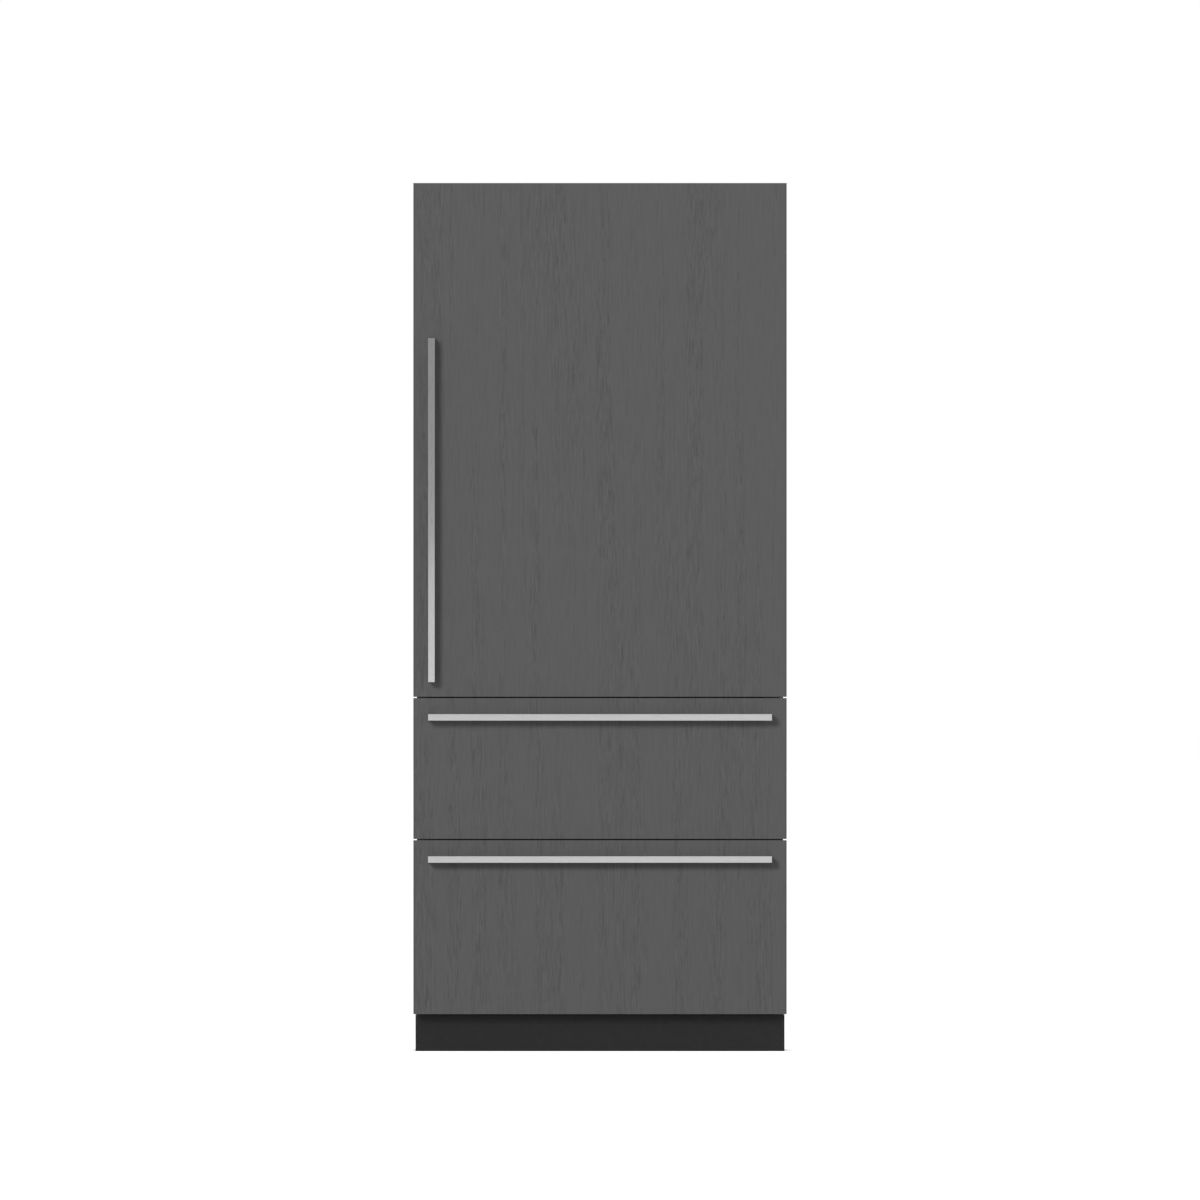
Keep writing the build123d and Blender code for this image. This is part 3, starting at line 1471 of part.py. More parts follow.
def feeler_axis():
    left, right = ice_mould_x()
    return right + feeler_offset, freezer_ceiling - ice_mould_drop + ice_mould_height - ice_end


def build_feeler():
    # A flat arm on the gearbox's side pin, with a long paddle beside the mould
    x, z = feeler_axis()
    y = ice_front + soft_gap
    depth = ice_bearing_depth - 2 * soft_gap
    hub = block(both_at(x, 2 * feeler_pin_radius), (y, y + depth), both_at(z, 2 * feeler_pin_radius))
    arm = block(both_at(x, feeler_width / 2), (y, y + depth), (z - feeler_reach, z))
    paddle = block(both_at(x, feeler_width / 2), (y, y + feeler_length),
                   (z - feeler_reach, z - feeler_reach + feeler_paddle))
    bore = rod((x, y - 1, z), (0, 1, 0), feeler_pin_radius + shaft_gap, ice_bearing_depth + 2)
    return hub + arm + paddle - bore


def build_ejector():
    # A shaft with one finger over each cup
    x, z = ice_axis()
    start = ice_front - ice_bearing_depth + soft_gap
    flat = 2 * ice_shaft_radius * cos(pi / 12)
    ejector = prism((x, start, z), (0, 1, 0), flat, ice_front + ice_mould_length - start, 12)
    pitch = ice_pitch()
    half = ice_finger_thickness / 2
    for i in range(ice_cups):
        middle = ice_front + ice_end + (i + 0.5) * pitch - ice_divider / 2
        ejector = ejector + block(both_at(x, half), both_at(middle, half), (z, z + ice_finger_length))
    return ejector


def build_ice():
    save("ice_maker", *build_ice_maker())
    save("ice_ejector", build_ejector())
    save("ice_feeler_arm", build_feeler())


def main():
    os.makedirs("parts", exist_ok=True)
    build_cabinet()
    build_base()
    build_door()
    build_fresh_food()
    build_freezer()
    build_machine()
    build_fans()
    build_ice()


if __name__ == "__main__":
    main()
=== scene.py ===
import bpy
import bmesh
import json
import math
from mathutils import Matrix, Vector


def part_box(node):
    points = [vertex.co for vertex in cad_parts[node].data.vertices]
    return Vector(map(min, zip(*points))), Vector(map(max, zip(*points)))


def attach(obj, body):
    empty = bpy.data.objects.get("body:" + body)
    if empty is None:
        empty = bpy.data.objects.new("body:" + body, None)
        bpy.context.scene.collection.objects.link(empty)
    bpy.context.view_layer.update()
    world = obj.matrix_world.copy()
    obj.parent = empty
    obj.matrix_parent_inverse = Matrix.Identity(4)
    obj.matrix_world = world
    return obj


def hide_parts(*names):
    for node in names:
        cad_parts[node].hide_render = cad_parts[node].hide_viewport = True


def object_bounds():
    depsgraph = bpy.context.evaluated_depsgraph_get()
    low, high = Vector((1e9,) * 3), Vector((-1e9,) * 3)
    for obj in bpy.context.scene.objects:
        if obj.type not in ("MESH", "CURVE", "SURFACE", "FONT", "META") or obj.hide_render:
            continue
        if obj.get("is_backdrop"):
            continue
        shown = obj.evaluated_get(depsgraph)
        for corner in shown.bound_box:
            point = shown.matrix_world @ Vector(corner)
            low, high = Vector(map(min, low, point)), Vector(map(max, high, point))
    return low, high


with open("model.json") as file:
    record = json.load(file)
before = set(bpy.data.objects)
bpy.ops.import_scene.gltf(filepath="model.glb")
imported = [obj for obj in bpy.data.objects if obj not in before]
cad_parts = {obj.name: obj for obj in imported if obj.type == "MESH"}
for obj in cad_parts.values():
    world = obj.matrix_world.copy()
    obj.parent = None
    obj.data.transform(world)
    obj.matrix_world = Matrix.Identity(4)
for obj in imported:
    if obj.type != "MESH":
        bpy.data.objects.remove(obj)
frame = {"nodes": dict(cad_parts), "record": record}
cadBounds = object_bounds()
cad = frame["nodes"]
recordSlots = {part["node"]: part["material_slot"] for part in frame["record"]["subparts"]}
scene = bpy.context.scene
scene.view_settings.view_transform = "Standard"
upward = (0, 0, 1)


# Camera: straight in front, and so far back that almost no perspective shows
shot = {"lens": 1500.0, "sensor": 36.0, "width": 2.938, "middle": 1.1051, "reach": 400.0}
camera = bpy.data.objects.new("camera", bpy.data.cameras.new("camera"))
scene.collection.objects.link(camera)
camera.data.lens = shot["lens"]
camera.data.sensor_width = shot["sensor"]
camera.data.clip_end = shot["reach"]
distance = shot["width"] * shot["lens"] / shot["sensor"]
camera.location = (0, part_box("door_panel")[0].y - distance, shot["middle"])
camera.rotation_euler = (math.radians(90), 0, 0)
scene.camera = camera


# Finishes

def link(tree, source, target):
    tree.links.new(source, target)


def node(tree, kind, **values):
    made = tree.nodes.new("ShaderNode" + kind)
    for name, value in values.items():
        if hasattr(made, name):
            setattr(made, name, value)
        else:
            made.inputs[name].default_value = value
    return made


def mathNode(tree, operation, *values):
    # Each value is a number or what another node gives
    made = node(tree, "Math", operation=operation)
    for socket, value in zip(made.inputs, values):
        if isinstance(value, float):
            socket.default_value = value
        else:
            link(tree, value, socket)
    return made.outputs[0]


def startFinish(name, **sockets):
    # A material with its shader's fixed values already set
    made = bpy.data.materials.new(name)
    made.use_nodes = True
    tree = made.node_tree
    shader = tree.nodes["Principled BSDF"]
    for socket, value in sockets.items():
        shader.inputs[socket.replace("_", " ")].default_value = value
    return made, tree, shader


def stretched(tree, scale=(1, 1, 1)):
    # The piece's own coordinates, stretched along the grain
    where = node(tree, "TexCoord")
    fit = node(tree, "Mapping", Scale=scale)
    link(tree, where.outputs["Object"], fit.inputs["Vector"])
    return fit.outputs["Vector"]


def placeAlong(tree, axis):
    parts = node(tree, "SeparateXYZ")
    link(tree, stretched(tree), parts.inputs[0])
    return parts.outputs[axis]


def noise(tree, size, detail=4.0, rough=0.5, warp=0.0, scale=(1, 1, 1)):
    made = node(tree, "TexNoise", Scale=size, Detail=detail, Roughness=rough, Distortion=warp)
    link(tree, stretched(tree, scale), made.inputs["Vector"])
    return made.outputs["Fac"]


def spread(tree, value, low, high, toLow, toHigh):
    made = node(tree, "MapRange")
    for socket, number in zip(("From Min", "From Max", "To Min", "To Max"), (low, high, toLow, toHigh)):
        made.inputs[socket].default_value = number
    link(tree, value, made.inputs["Value"])
    return made.outputs["Result"]


def blendColors(tree, amount, first, second):
    made = node(tree, "Mix", data_type="RGBA")
    link(tree, amount, made.inputs["Factor"])
    for socket, colour in ((6, first), (7, second)):  # the colour inputs A and B
        if isinstance(colour, tuple):
            made.inputs[socket].default_value = (*colour, 1)
        else:
            link(tree, colour, made.inputs[socket])
    return made.outputs[2]


def relief(tree, shader, height, depth, strength=1.0):
    made = node(tree, "Bump", Distance=depth, Strength=strength)
    link(tree, height, made.inputs["Height"])
    link(tree, made.outputs["Normal"], shader.inputs["Normal"])


noiseSpan = (0.3, 0.7)  # nearly all of a noise lies between these


def mottled(name, dark, light, rough, size=40.0, depth=0.0, detail=5.0, **sockets):
    # Colour, gloss and relief that all wander a little; light is a colour, or how far it is above dark
    if isinstance(light, float):
        light = tuple(tone + light for tone in dark)
    made, tree, shader = startFinish(name, **sockets)
    broad = noise(tree, size, detail)
    fine = noise(tree, size * 9, 3.0)
    colour = blendColors(tree, spread(tree, broad, *noiseSpan, 0, 1), dark, light)
    link(tree, colour, shader.inputs["Base Color"])
    link(tree, spread(tree, fine, *noiseSpan, *rough), shader.inputs["Roughness"])
    if depth:
        relief(tree, shader, fine, depth)
    return made


# Dark grey wood-grain laminate: upright bands of fine grain and short dark pores, calmer strips between them.
# A pattern is (size, detail, roughness, warp, stretch), a range is (from, from, to, to).
# Painted shade: the edge colour and its ramp darken the laminate near the panel's left and right sides
grainLook = {"light": (0.1205, 0.1205, 0.12), "dark": (0.0975, 0.0975, 0.097),
             "calm": (0.1095, 0.1095, 0.109), "fleck": (0.085, 0.085, 0.0845), "edge": (0.088, 0.088, 0.0875),
             "streak": (190.0, 3.0, 0.6, 0.5, (1, 0.2, 0.075)),
             "band": (27.0, 2.0, 0.5, 0.3, (1, 0.3, 0.025)),
             "flecks": (225.0, 3.0, 0.6, 0.9, (1, 0.2, 0.09)), "streakTone": (0.32, 0.68, 0, 1),
             "bandCalm": (0.42, 0.58, 0.5, 0), "fleckGate": (0.49, 0.68, 0, 0.95),
             "bandGate": (0.46, 0.58, 0.08, 1.0), "edgeShadeRamp": (0.4515, 0.4545, 0, 0.7),
             "rough": (0.3, 0.7, 0.52, 0.62), "pores": 0.00008}


def panelFinish():
    look = grainLook
    made, tree, shader = startFinish("panelLaminate", Specular_IOR_Level=0.12)
    streak, band, flecks = [noise(tree, *look[name]) for name in ("streak", "band", "flecks")]
    tone = blendColors(tree, spread(tree, streak, *look["streakTone"]), look["dark"], look["light"])
    soft = blendColors(tree, spread(tree, band, *look["bandCalm"]), tone, look["calm"])
    gate = mathNode(tree, "MULTIPLY", spread(tree, flecks, *look["fleckGate"]),
                    spread(tree, band, *look["bandGate"]))
    grained = blendColors(tree, gate, soft, look["fleck"])
    # Painted shade: near the left and right sides the colour darkens towards the edge colour
    edge = spread(tree, mathNode(tree, "ABSOLUTE", placeAlong(tree, "X")), *look["edgeShadeRamp"])
    link(tree, blendColors(tree, edge, grained, look["edge"]), shader.inputs["Base Color"])
    link(tree, spread(tree, streak, *look["rough"]), shader.inputs["Roughness"])
    relief(tree, shader, flecks, look["pores"])
    return made


brushLook = {"stretch": 0.012, "scratch": 2600.0, "cloud": 14.0, "rough": (0.26, 0.36), "depth": 0.00001,
             "strength": 0.6}


def brushed(name, dark, light, along):
    # Fine scratches run along one axis
    look = brushLook
    made, tree, shader = startFinish(name, Metallic=1.0)
    grain = tuple(look["stretch"] if axis == along else 1.0 for axis in "XYZ")
    scratch = noise(tree, look["scratch"], 3.0, 0.7, scale=grain)
    cloud = noise(tree, look["cloud"], 2.0)
    tone = blendColors(tree, spread(tree, scratch, *noiseSpan, 0, 1), dark, light)
    colour = blendColors(tree, spread(tree, cloud, *noiseSpan, 0, 0.25), tone, dark)
    link(tree, colour, shader.inputs["Base Color"])
    link(tree, spread(tree, scratch, *noiseSpan, *look["rough"]), shader.inputs["Roughness"])
    relief(tree, shader, scratch, look["depth"], look["strength"])
    return made


finishes = {
    "front_panel": panelFinish(),
    # Painted light: one steel, painted lighter for the upright bar and darker for the level bars, for how
    # each is lit
    "bar_upright_painted_lighter": brushed("barSteelPaintedLighter", (0.485, 0.485, 0.485), (0.59, 0.59, 0.587), "Z"),
    "bar_level_painted_darker": brushed("barSteelPaintedDarker", (0.44, 0.44, 0.44), (0.545, 0.545, 0.542), "X"),
    "toe_kick": mottled("toeKickPaint", (0.0155, 0.0155, 0.016), 0.003, (0.42, 0.5), 60.0, 0.00004,
                        Specular_IOR_Level=0.2),
    "cabinet_sheet": mottled("cabinetPaint", (0.294, 0.304, 0.314), 0.012, (0.36, 0.46), 25.0, 0.00003),
    "zinc_sheet": mottled("zincSpangle", (0.50, 0.51, 0.52), 0.055, (0.34, 0.44), 70.0, detail=1.0,
                          Metallic=1.0),
    "insulation": mottled("foam", (0.72, 0.62, 0.34), (0.84, 0.76, 0.5), (0.85, 0.95), 90.0, 0.0006),
    "white_liner": mottled("linerPlastic", (0.835, 0.845, 0.85), 0.015, (0.2, 0.28), 14.0),
    "dark_core": mottled("coreSteel", (0.026, 0.026, 0.028), 0.008, (0.4, 0.5), 40.0, 0.00003),
    "frame_steel": mottled("frameSteel", (0.028, 0.028, 0.030), 0.008, (0.34, 0.44), 40.0, 0.00003),
    "gasket_rubber": mottled("gasketRubber", (0.028, 0.028, 0.030), 0.014, (0.55, 0.7), 90.0, 0.00008),
    "hinge_steel": mottled("platedSteel", (0.36, 0.36, 0.37), 0.12, (0.28, 0.42), 50.0, Metallic=1.0),
    # Near-black steel: on the hinge brackets it is painted shade where they show through the seam; the back
    # screws also use it
    "dark_steel_and_seam_shade": mottled("darkSteelAndSeamShade", (0.034, 0.034, 0.036), 0.016, (0.34, 0.46), 50.0, Metallic=0.5),
    "bearing_nylon": mottled("nylon", (0.70, 0.70, 0.67), (0.78, 0.78, 0.76), (0.4, 0.5), 60.0),
    "bin_clear": mottled("clearPlastic", (0.90, 0.93, 0.94), (0.94, 0.96, 0.97), (0.05, 0.12), 20.0,
                         Transmission_Weight=0.92, IOR=1.2),
    "shelf_glass": mottled("shelfGlass", (0.86, 0.95, 0.93), (0.9, 0.97, 0.95), (0.01, 0.03), 12.0,
                           Transmission_Weight=1.0, IOR=1.45),
    "shelf_steel": mottled("shelfCoat", (0.55, 0.56, 0.57), 0.07, (0.3, 0.4), 50.0, Metallic=0.6),
    "duct_plastic": mottled("ductPlastic", (0.74, 0.75, 0.76), 0.05, (0.35, 0.45), 120.0, 0.00006),
    "lamp_diffuser": mottled("diffuser", (0.90, 0.91, 0.90), 0.04, (0.3, 0.4), 60.0,
                             Emission_Color=(1, 0.98, 0.94, 1), Emission_Strength=0.55),
    "control_glass": mottled("controlGlass", (0.012, 0.012, 0.014), 0.008, (0.06, 0.12), 20.0),
    "black_metal": mottled("compressorPaint", (0.014, 0.014, 0.015), 0.01, (0.22, 0.36), 45.0, 0.00006),
    "coil_aluminium": mottled("coilAluminium", (0.66, 0.67, 0.68), 0.12, (0.3, 0.45), 80.0, Metallic=1.0),
    "copper_line": mottled("copper", (0.42, 0.19, 0.10), (0.68, 0.36, 0.23), (0.24, 0.4), 50.0,
                           Metallic=1.0),
    "dark_plastic": mottled("darkPlastic", (0.022, 0.022, 0.024), 0.01, (0.42, 0.52), 90.0, 0.00005),
    "ice_plastic": mottled("icePlastic", (0.56, 0.58, 0.60), 0.08, (0.38, 0.48), 80.0, 0.00005),
    "tub_plastic": mottled("tubPlastic", (0.84, 0.855, 0.87), 0.03, (0.26, 0.34), 14.0),
}
for name, item in cad.items():
    slotName = recordSlots[name]
    # The door's upright bar takes the lighter painted copy of the steel, the drawers' level bars the darker
    if slotName == "bar_handle":
        slotName = "bar_upright_painted_lighter" if name == "door_handle" else "bar_level_painted_darker"
    item.data.materials.clear()
    item.data.materials.append(finishes[slotName])
print("stage: camera and finishes")


# Ways of drawing a shape; a section is a table in millimetres, or of shares of a radius and millimetres

def fromMm(section, first=0.0, second=0.0):
    return [(first + u / 1000, second + v / 1000) for u, v in section]


def shares(section, radius, start=0.0):
    return [(radius * share, start + rise / 1000) for share, rise in section]


def bothSides(inner, outer):
    # The same stretch across at the left and at the right
    return (-outer, -inner), (inner, outer)


def around(middle, half):
    # The corners of a rectangle about a place
    return [[m + side * h for m, h in zip(middle, half)] for side in (-1, 1)]


def arc(middle, radius, start, end, steps):
    # Points between two angles in degrees
    angles = [math.radians(start + (end - start) * k / steps) for k in range(steps + 1)]
    return [(middle[0] + radius * math.cos(a), middle[1] + radius * math.sin(a)) for a in angles]


def circle(radius, sides):
    return arc((0, 0), radius, 0, 360, sides)[:-1]


def addBox(shape, low, high):
    corners = [shape.verts.new((x, y, z)) for x in (low[0], high[0]) for y in (low[1], high[1])
               for z in (low[2], high[2])]
    for side in ((0, 1, 3, 2), (4, 6, 7, 5), (0, 4, 5, 1), (2, 3, 7, 6), (0, 2, 6, 4), (1, 5, 7, 3)):
        shape.faces.new([corners[i] for i in side])


def addLoops(shape, loops, closed=False):
    # Skins a row of loops that all have the same number of points, and caps its ends
    rings = [[shape.verts.new(point) for point in loop] for loop in loops]
    pairs = list(zip(rings, rings[1:])) + ([(rings[-1], rings[0])] if closed else [])
    for first, second in pairs:
        for i in range(len(first)):
            j = (i + 1) % len(first)
            shape.faces.new((first[i], first[j], second[j], second[i]))
    if not closed:
        shape.faces.new(rings[0][::-1])
        shape.faces.new(rings[-1])


def addOutline(shape, outline, axis, low, high):
    # Pushes a flat outline along one axis; the outline gives the other two in order
    order = {"X": (2, 0, 1), "Y": (0, 2, 1), "Z": (0, 1, 2)}[axis]
    ends = [[(*point, level) for point in outline] for level in (low, high)]
    addLoops(shape, [[tuple(point[i] for i in order) for point in end] for end in ends])


def addBar(shape, section, x, y, z, half):
    # A section of (depth, height) that runs across
    addOutline(shape, fromMm(section, y, z), "X", x - half, x + half)


def rectLoop(low, high, radius, level, plane="XZ", steps=5):
    # A rounded rectangle's points; each corner has its full count of points at any radius
    points = []
    corners = ((high[0], high[1], 0), (low[0], high[1], 90), (low[0], low[1], 180), (high[0], low[1], 270))
    for x, z, start in corners:
        middle = (x - math.copysign(radius, x - (low[0] + high[0]) / 2),
                  z - math.copysign(radius, z - (low[1] + high[1]) / 2))
        points += arc(middle, radius, start, start + 90, steps - 1)
    return [(u, level, v) if plane == "XZ" else (u, v, level) for u, v in points]


def addFrameSweep(shape, section, low, high, radius, plane="XZ", steps=5, closed=True):
    # Carries a section of (outward, level) points round a rounded rectangle
    addLoops(shape, [rectLoop((low[0] - out, low[1] - out), (high[0] + out, high[1] + out),
                              max(radius + out, 0.0002), level, plane, steps)
                     for out, level in section], closed)


def addPlate(shape, low, high, corner, rows, plane="XZ", steps=5, follow=0):
    # A rounded plate through (inset, level) rows; with follow 1 its corners shrink by the inset too
    addLoops(shape, [rectLoop((low[0] + inset, low[1] + inset), (high[0] - inset, high[1] - inset),
                              max(corner - follow * inset, 0.0003), level, plane, steps)
                     for inset, level in rows])


def turnTo(axis, place):
    return Matrix.Translation(Vector(place)) @ Vector(axis).to_track_quat("Z", "Y").to_matrix().to_4x4()


def addLathe(shape, profile, place, axis=upward, sides=24):
    # Spins (radius, height) points about a line
    turn = turnTo(axis, place)
    addLoops(shape, [[turn @ Vector((u, v, height)) for u, v in circle(radius, sides)]
                     for radius, height in profile])


def bentRoute(points, radius, steps=8):
    # Eases each corner of a run of pipe
    points = [Vector(point) for point in points]
    route = [points[0]]
    for before, corner, after in zip(points, points[1:], points[2:]):
        start = corner + (before - corner).normalized() * radius
        end = corner + (after - corner).normalized() * radius
        for k in range(steps + 1):
            t = k / steps
            route.append(start * (1 - t) ** 2 + corner * 2 * t * (1 - t) + end * t * t)
    return route + [points[-1]]


def addTube(shape, route, radius, sides=14):
    loops = []
    side = (route[1] - route[0]).orthogonal().normalized()
    for i, point in enumerate(route):
        ahead = (route[min(i + 1, len(route) - 1)] - route[max(i - 1, 0)]).normalized()
        side = (side - ahead * side.dot(ahead)).normalized()
        up = ahead.cross(side)
        loops.append([point + side * u + up * v for u, v in circle(radius, sides)])
    addLoops(shape, loops)


# A screw's head in shares of its radius and of how far it stands proud; half sizes of its cross's arms
screwHead = ((1, 0.35), (0.8, 0.85), (0.42, 1))
screwCross = (0.62, 0.13)


def addScrews(shape, places, axis, radius=0.0042, proud=0.0012):
    # Low domed heads with a cross recess
    profile = [(radius, -0.0002), *((radius * u, proud * v) for u, v in screwHead)]
    long, short = (radius * share for share in screwCross)
    for place in places:
        turn = turnTo(axis, place)
        addLathe(shape, profile, place, axis, 16)
        for wide, tall in ((long, short), (short, long)):
            arm = ((-wide, -tall), (wide, -tall), (wide, tall), (-wide, tall))
            addLoops(shape, [[turn @ Vector((x * share, y * share, height)) for x, y in arm]
                             for share, height in ((1, proud + 0.00002), (0.7, proud * 0.35))])


creaseAngle = math.radians(28)  # an edge sharper than this gets rounded


def creases(edges):
    return [edge for edge in edges if len(edge.link_faces) == 2 and edge.calc_face_angle(0) > creaseAngle]


def roundEdges(shape, edges, bevel, steps=2):
    bmesh.ops.bevel(shape, geom=edges, offset=bevel, segments=steps, profile=0.5, affect="EDGES",
                    clamp_overlap=True)


def makePiece(name, body, slotName, shape, hides=(), finish=None, bevel=0.0, steps=2, sharp=35.0):
    # Rounds the sharp edges, smooths the rest, and fixes the piece to its body
    bmesh.ops.recalc_face_normals(shape, faces=shape.faces)
    if bevel:
        roundEdges(shape, creases(shape.edges), bevel, steps)
    mesh = bpy.data.meshes.new(name)
    shape.to_mesh(mesh)
    shape.free()
    mesh.shade_smooth()
    mesh.set_sharp_from_angle(angle=math.radians(sharp))
    mesh.materials.append(finish or finishes[slotName])
    made = bpy.data.objects.new(name, mesh)
    scene.collection.objects.link(made)
    even = made.modifiers.new("evenShading", "WEIGHTED_NORMAL")
    even.keep_sharp = True
    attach(made, body)
    if hides:
        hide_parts(*hides)


def pieceName(cadNode):
    return cadNode.replace("_", "-")


def bodyOf(cadNode):
    return next(name for name, parts in frame["record"]["behaviour"]["bodies"].items() if cadNode in parts)


def dressNode(cadNode, shape, finish=None, **look):
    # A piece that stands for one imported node, with that node's body and slot
    makePiece(pieceName(cadNode), bodyOf(cadNode), recordSlots[cadNode], shape, (cadNode,), finish, **look)


def softenNode(cadNode, edge, farthest=None, taller=None):
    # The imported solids' own shapes, each with its sharp edges rounded as moulding or folding leaves them
    shape = bmesh.new()
    shape.from_mesh(cad[cadNode].data)
    if farthest:
        for vert in shape.verts:
            vert.co.y = min(vert.co.y, farthest)
    if taller:
        middle = sum(corner.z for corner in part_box(cadNode)) / 2
        for vert in shape.verts:
            vert.co.z += taller["up"] if vert.co.z > middle else -taller["down"]
    bmesh.ops.remove_doubles(shape, verts=shape.verts, dist=0.00001)
    bmesh.ops.dissolve_limit(shape, angle_limit=math.radians(1.5), verts=shape.verts, edges=shape.edges)
    waiting = set(shape.verts)
    groups = []
    while waiting:  # one group of edges for each separate solid
        reached, group = [waiting.pop()], []
        while reached:
            vert = reached.pop()
            group.append(vert)
            near = [line.other_vert(vert) for line in vert.link_edges]
            reached += [other for other in near if other in waiting]
            waiting.difference_update(near)
        groups.append(set(creases(line for vert in group for line in vert.link_edges)))
    for lines in groups:
        roundEdges(shape, list(lines), edge)
    dressNode(cadNode, shape)


# Front panels

panelLook = {"edge": 0.0008, "steps": 3, "reveal": 0.0005}  # reveal: how far each edge comes into a seam
for cadNode in ("door_panel", "upper_drawer_panel", "lower_drawer_panel"):
    low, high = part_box(cadNode)
    if cadNode != "lower_drawer_panel":
        low.z -= panelLook["reveal"]
    if cadNode != "door_panel":
        high.z += panelLook["reveal"]
    shape = bmesh.new()
    addBox(shape, low, high)
    dressNode(cadNode, shape, bevel=panelLook["edge"], steps=panelLook["steps"])


# Bar handles: mitred square bar and end posts, a thin pad under each post, a grub screw in its side

handleLook = {"edge": 0.0005, "pad": 0.0006, "padInset": 0.0015, "grub": 0.0021, "grubBack": 0.3}
grubSection = ((1, -0.4), (1, 0.15), (0.6, 0.15), (0.55, -0.3))


def buildHandle(cadNode):
    low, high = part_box(cadNode)
    upright = high.z - low.z > high.x - low.x
    levels, widths = (low.z, high.z), (low.x, high.x)
    (start, end), across = (levels, widths) if upright else (widths, levels)
    size = across[1] - across[0]
    front, back, seat = low.y, low.y + size, high.y - handleLook["pad"]
    bar = [(start, front), (end, front), (end - size, back), (start + size, back)]
    posts = [[(start, front), (start + size, back), (start + size, seat), (start, seat)],
             [(end, front), (end, seat), (end - size, seat), (end - size, back)]]
    shape, pads, grubs = bmesh.new(), bmesh.new(), bmesh.new()
    for outline in (bar, *posts):
        if upright:
            addOutline(shape, [(y, z) for z, y in outline], "X", *across)
        else:
            addOutline(shape, outline, "Z", *across)
    inset, grubY = handleLook["padInset"], (back + seat) / 2 + size * handleLook["grubBack"]
    axis = (1, 0, 0) if upright else (0, 0, -1)
    for ends in ((start, start + size), (end - size, end)):
        (x0, x1), (z0, z1) = (across, ends) if upright else (ends, across)
        addBox(pads, (x0 + inset, seat, z0 + inset), (x1 - inset, high.y, z1 - inset))
        place = (x1, grubY, (z0 + z1) / 2) if upright else ((x0 + x1) / 2, grubY, z0)
        addLathe(grubs, shares(grubSection, handleLook["grub"]), place, axis, 12)
    # Lighter painted steel for the upright bar, darker for the level ones
    finish = finishes["bar_upright_painted_lighter" if upright else "bar_level_painted_darker"]
    dressNode(cadNode, shape, finish, bevel=handleLook["edge"])
    makePiece(pieceName(cadNode) + "-pads", bodyOf(cadNode), "gasket_rubber", pads)
    makePiece(pieceName(cadNode) + "-grub-screws", bodyOf(cadNode), "hinge_steel", grubs)


for cadNode in ("door_handle", "upper_drawer_handle", "lower_drawer_handle"):
    buildHandle(cadNode)
print("stage: panels and handles")


# Seals: foot, bellows and magnet head, mitred at the corners

sealReach = 0.024
sealSection = ((5.5, 0), (22.5, 0), (23.3, 0.8), (23, 2.5), (20.2, 3.3), (19, 4.6), (20.6, 5.9), (23.3, 7),
               (24, 8.2), (24, 10.7), (23.2, 11.6), (4.8, 11.6), (4, 10.7), (4, 8.2), (5.4, 7.1), (8.8, 6.1),
               (9.6, 4.8), (8.2, 3.5), (5.2, 2.5), (4.7, 0.8))
for cadNode in ("door_gasket", "upper_drawer_gasket", "lower_drawer_gasket"):
    low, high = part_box(cadNode)
    shape = bmesh.new()
    addFrameSweep(shape, fromMm(sealSection, 0, low.y), (low.x + sealReach, low.z + sealReach),
                  (high.x - sealReach, high.z - sealReach), -sealReach, steps=2)
    dressNode(cadNode, shape, sharp=50)


# Door's inner liner: flange, raised dyke with soft corners, and the lugs that the bins hang on

linerLook = {"flange": 0.0015, "dykeInset": 0.0635, "dykeBottom": 0.0425, "dykeTop": 0.081, "corner": 0.022,
             "dykeWall": 0.022}
dykeSection = ((5, -0.6), (1.6, 1.2), (0, 5), (-0.8, 42), (-2.6, 47.5), (-7, 50), (-15, 50), (-19.4, 47.5),
               (-21.2, 42), (-22, 5), (-23.6, 1.2), (-27, -0.6))
low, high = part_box("door_liner")
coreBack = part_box("door_gasket")[0].y
dykeHalf = high.x - linerLook["dykeInset"]
shape = bmesh.new()
addBox(shape, (low.x, coreBack - linerLook["flange"], low.z), (high.x, coreBack, high.z))
addFrameSweep(shape, fromMm(dykeSection, 0, coreBack), (-dykeHalf, low.z + linerLook["dykeBottom"]),
              (dykeHalf, high.z - linerLook["dykeTop"]), linerLook["corner"])
dressNode("door_liner", shape, sharp=50)

lugLook = {"reach": 0.0045, "tuck": 0.0005, "depth": 0.02, "height": 0.04, "setback": 0.024,
           "rises": (0.036, 0.3, 0.545, 0.8), "edge": 0.0015}
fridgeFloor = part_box("fridge_liner")[0].z + 0.002
dykeInside = dykeHalf - linerLook["dykeWall"]
lugLevels = [fridgeFloor + rise for rise in lugLook["rises"]]
lugFront = coreBack + lugLook["setback"]
shape = bmesh.new()
for z in lugLevels:
    for left, right in bothSides(dykeInside - lugLook["reach"], dykeInside + lugLook["tuck"]):
        addBox(shape, (left, lugFront, z), (right, lugFront + lugLook["depth"], z + lugLook["height"]))
makePiece("door-bin-lugs", "fridge_door", "white_liner", shape, bevel=lugLook["edge"])
print("stage: door liner and seals")


# Drawer fronts' inner halves: steel pan, liner flange and a plug that enters the opening

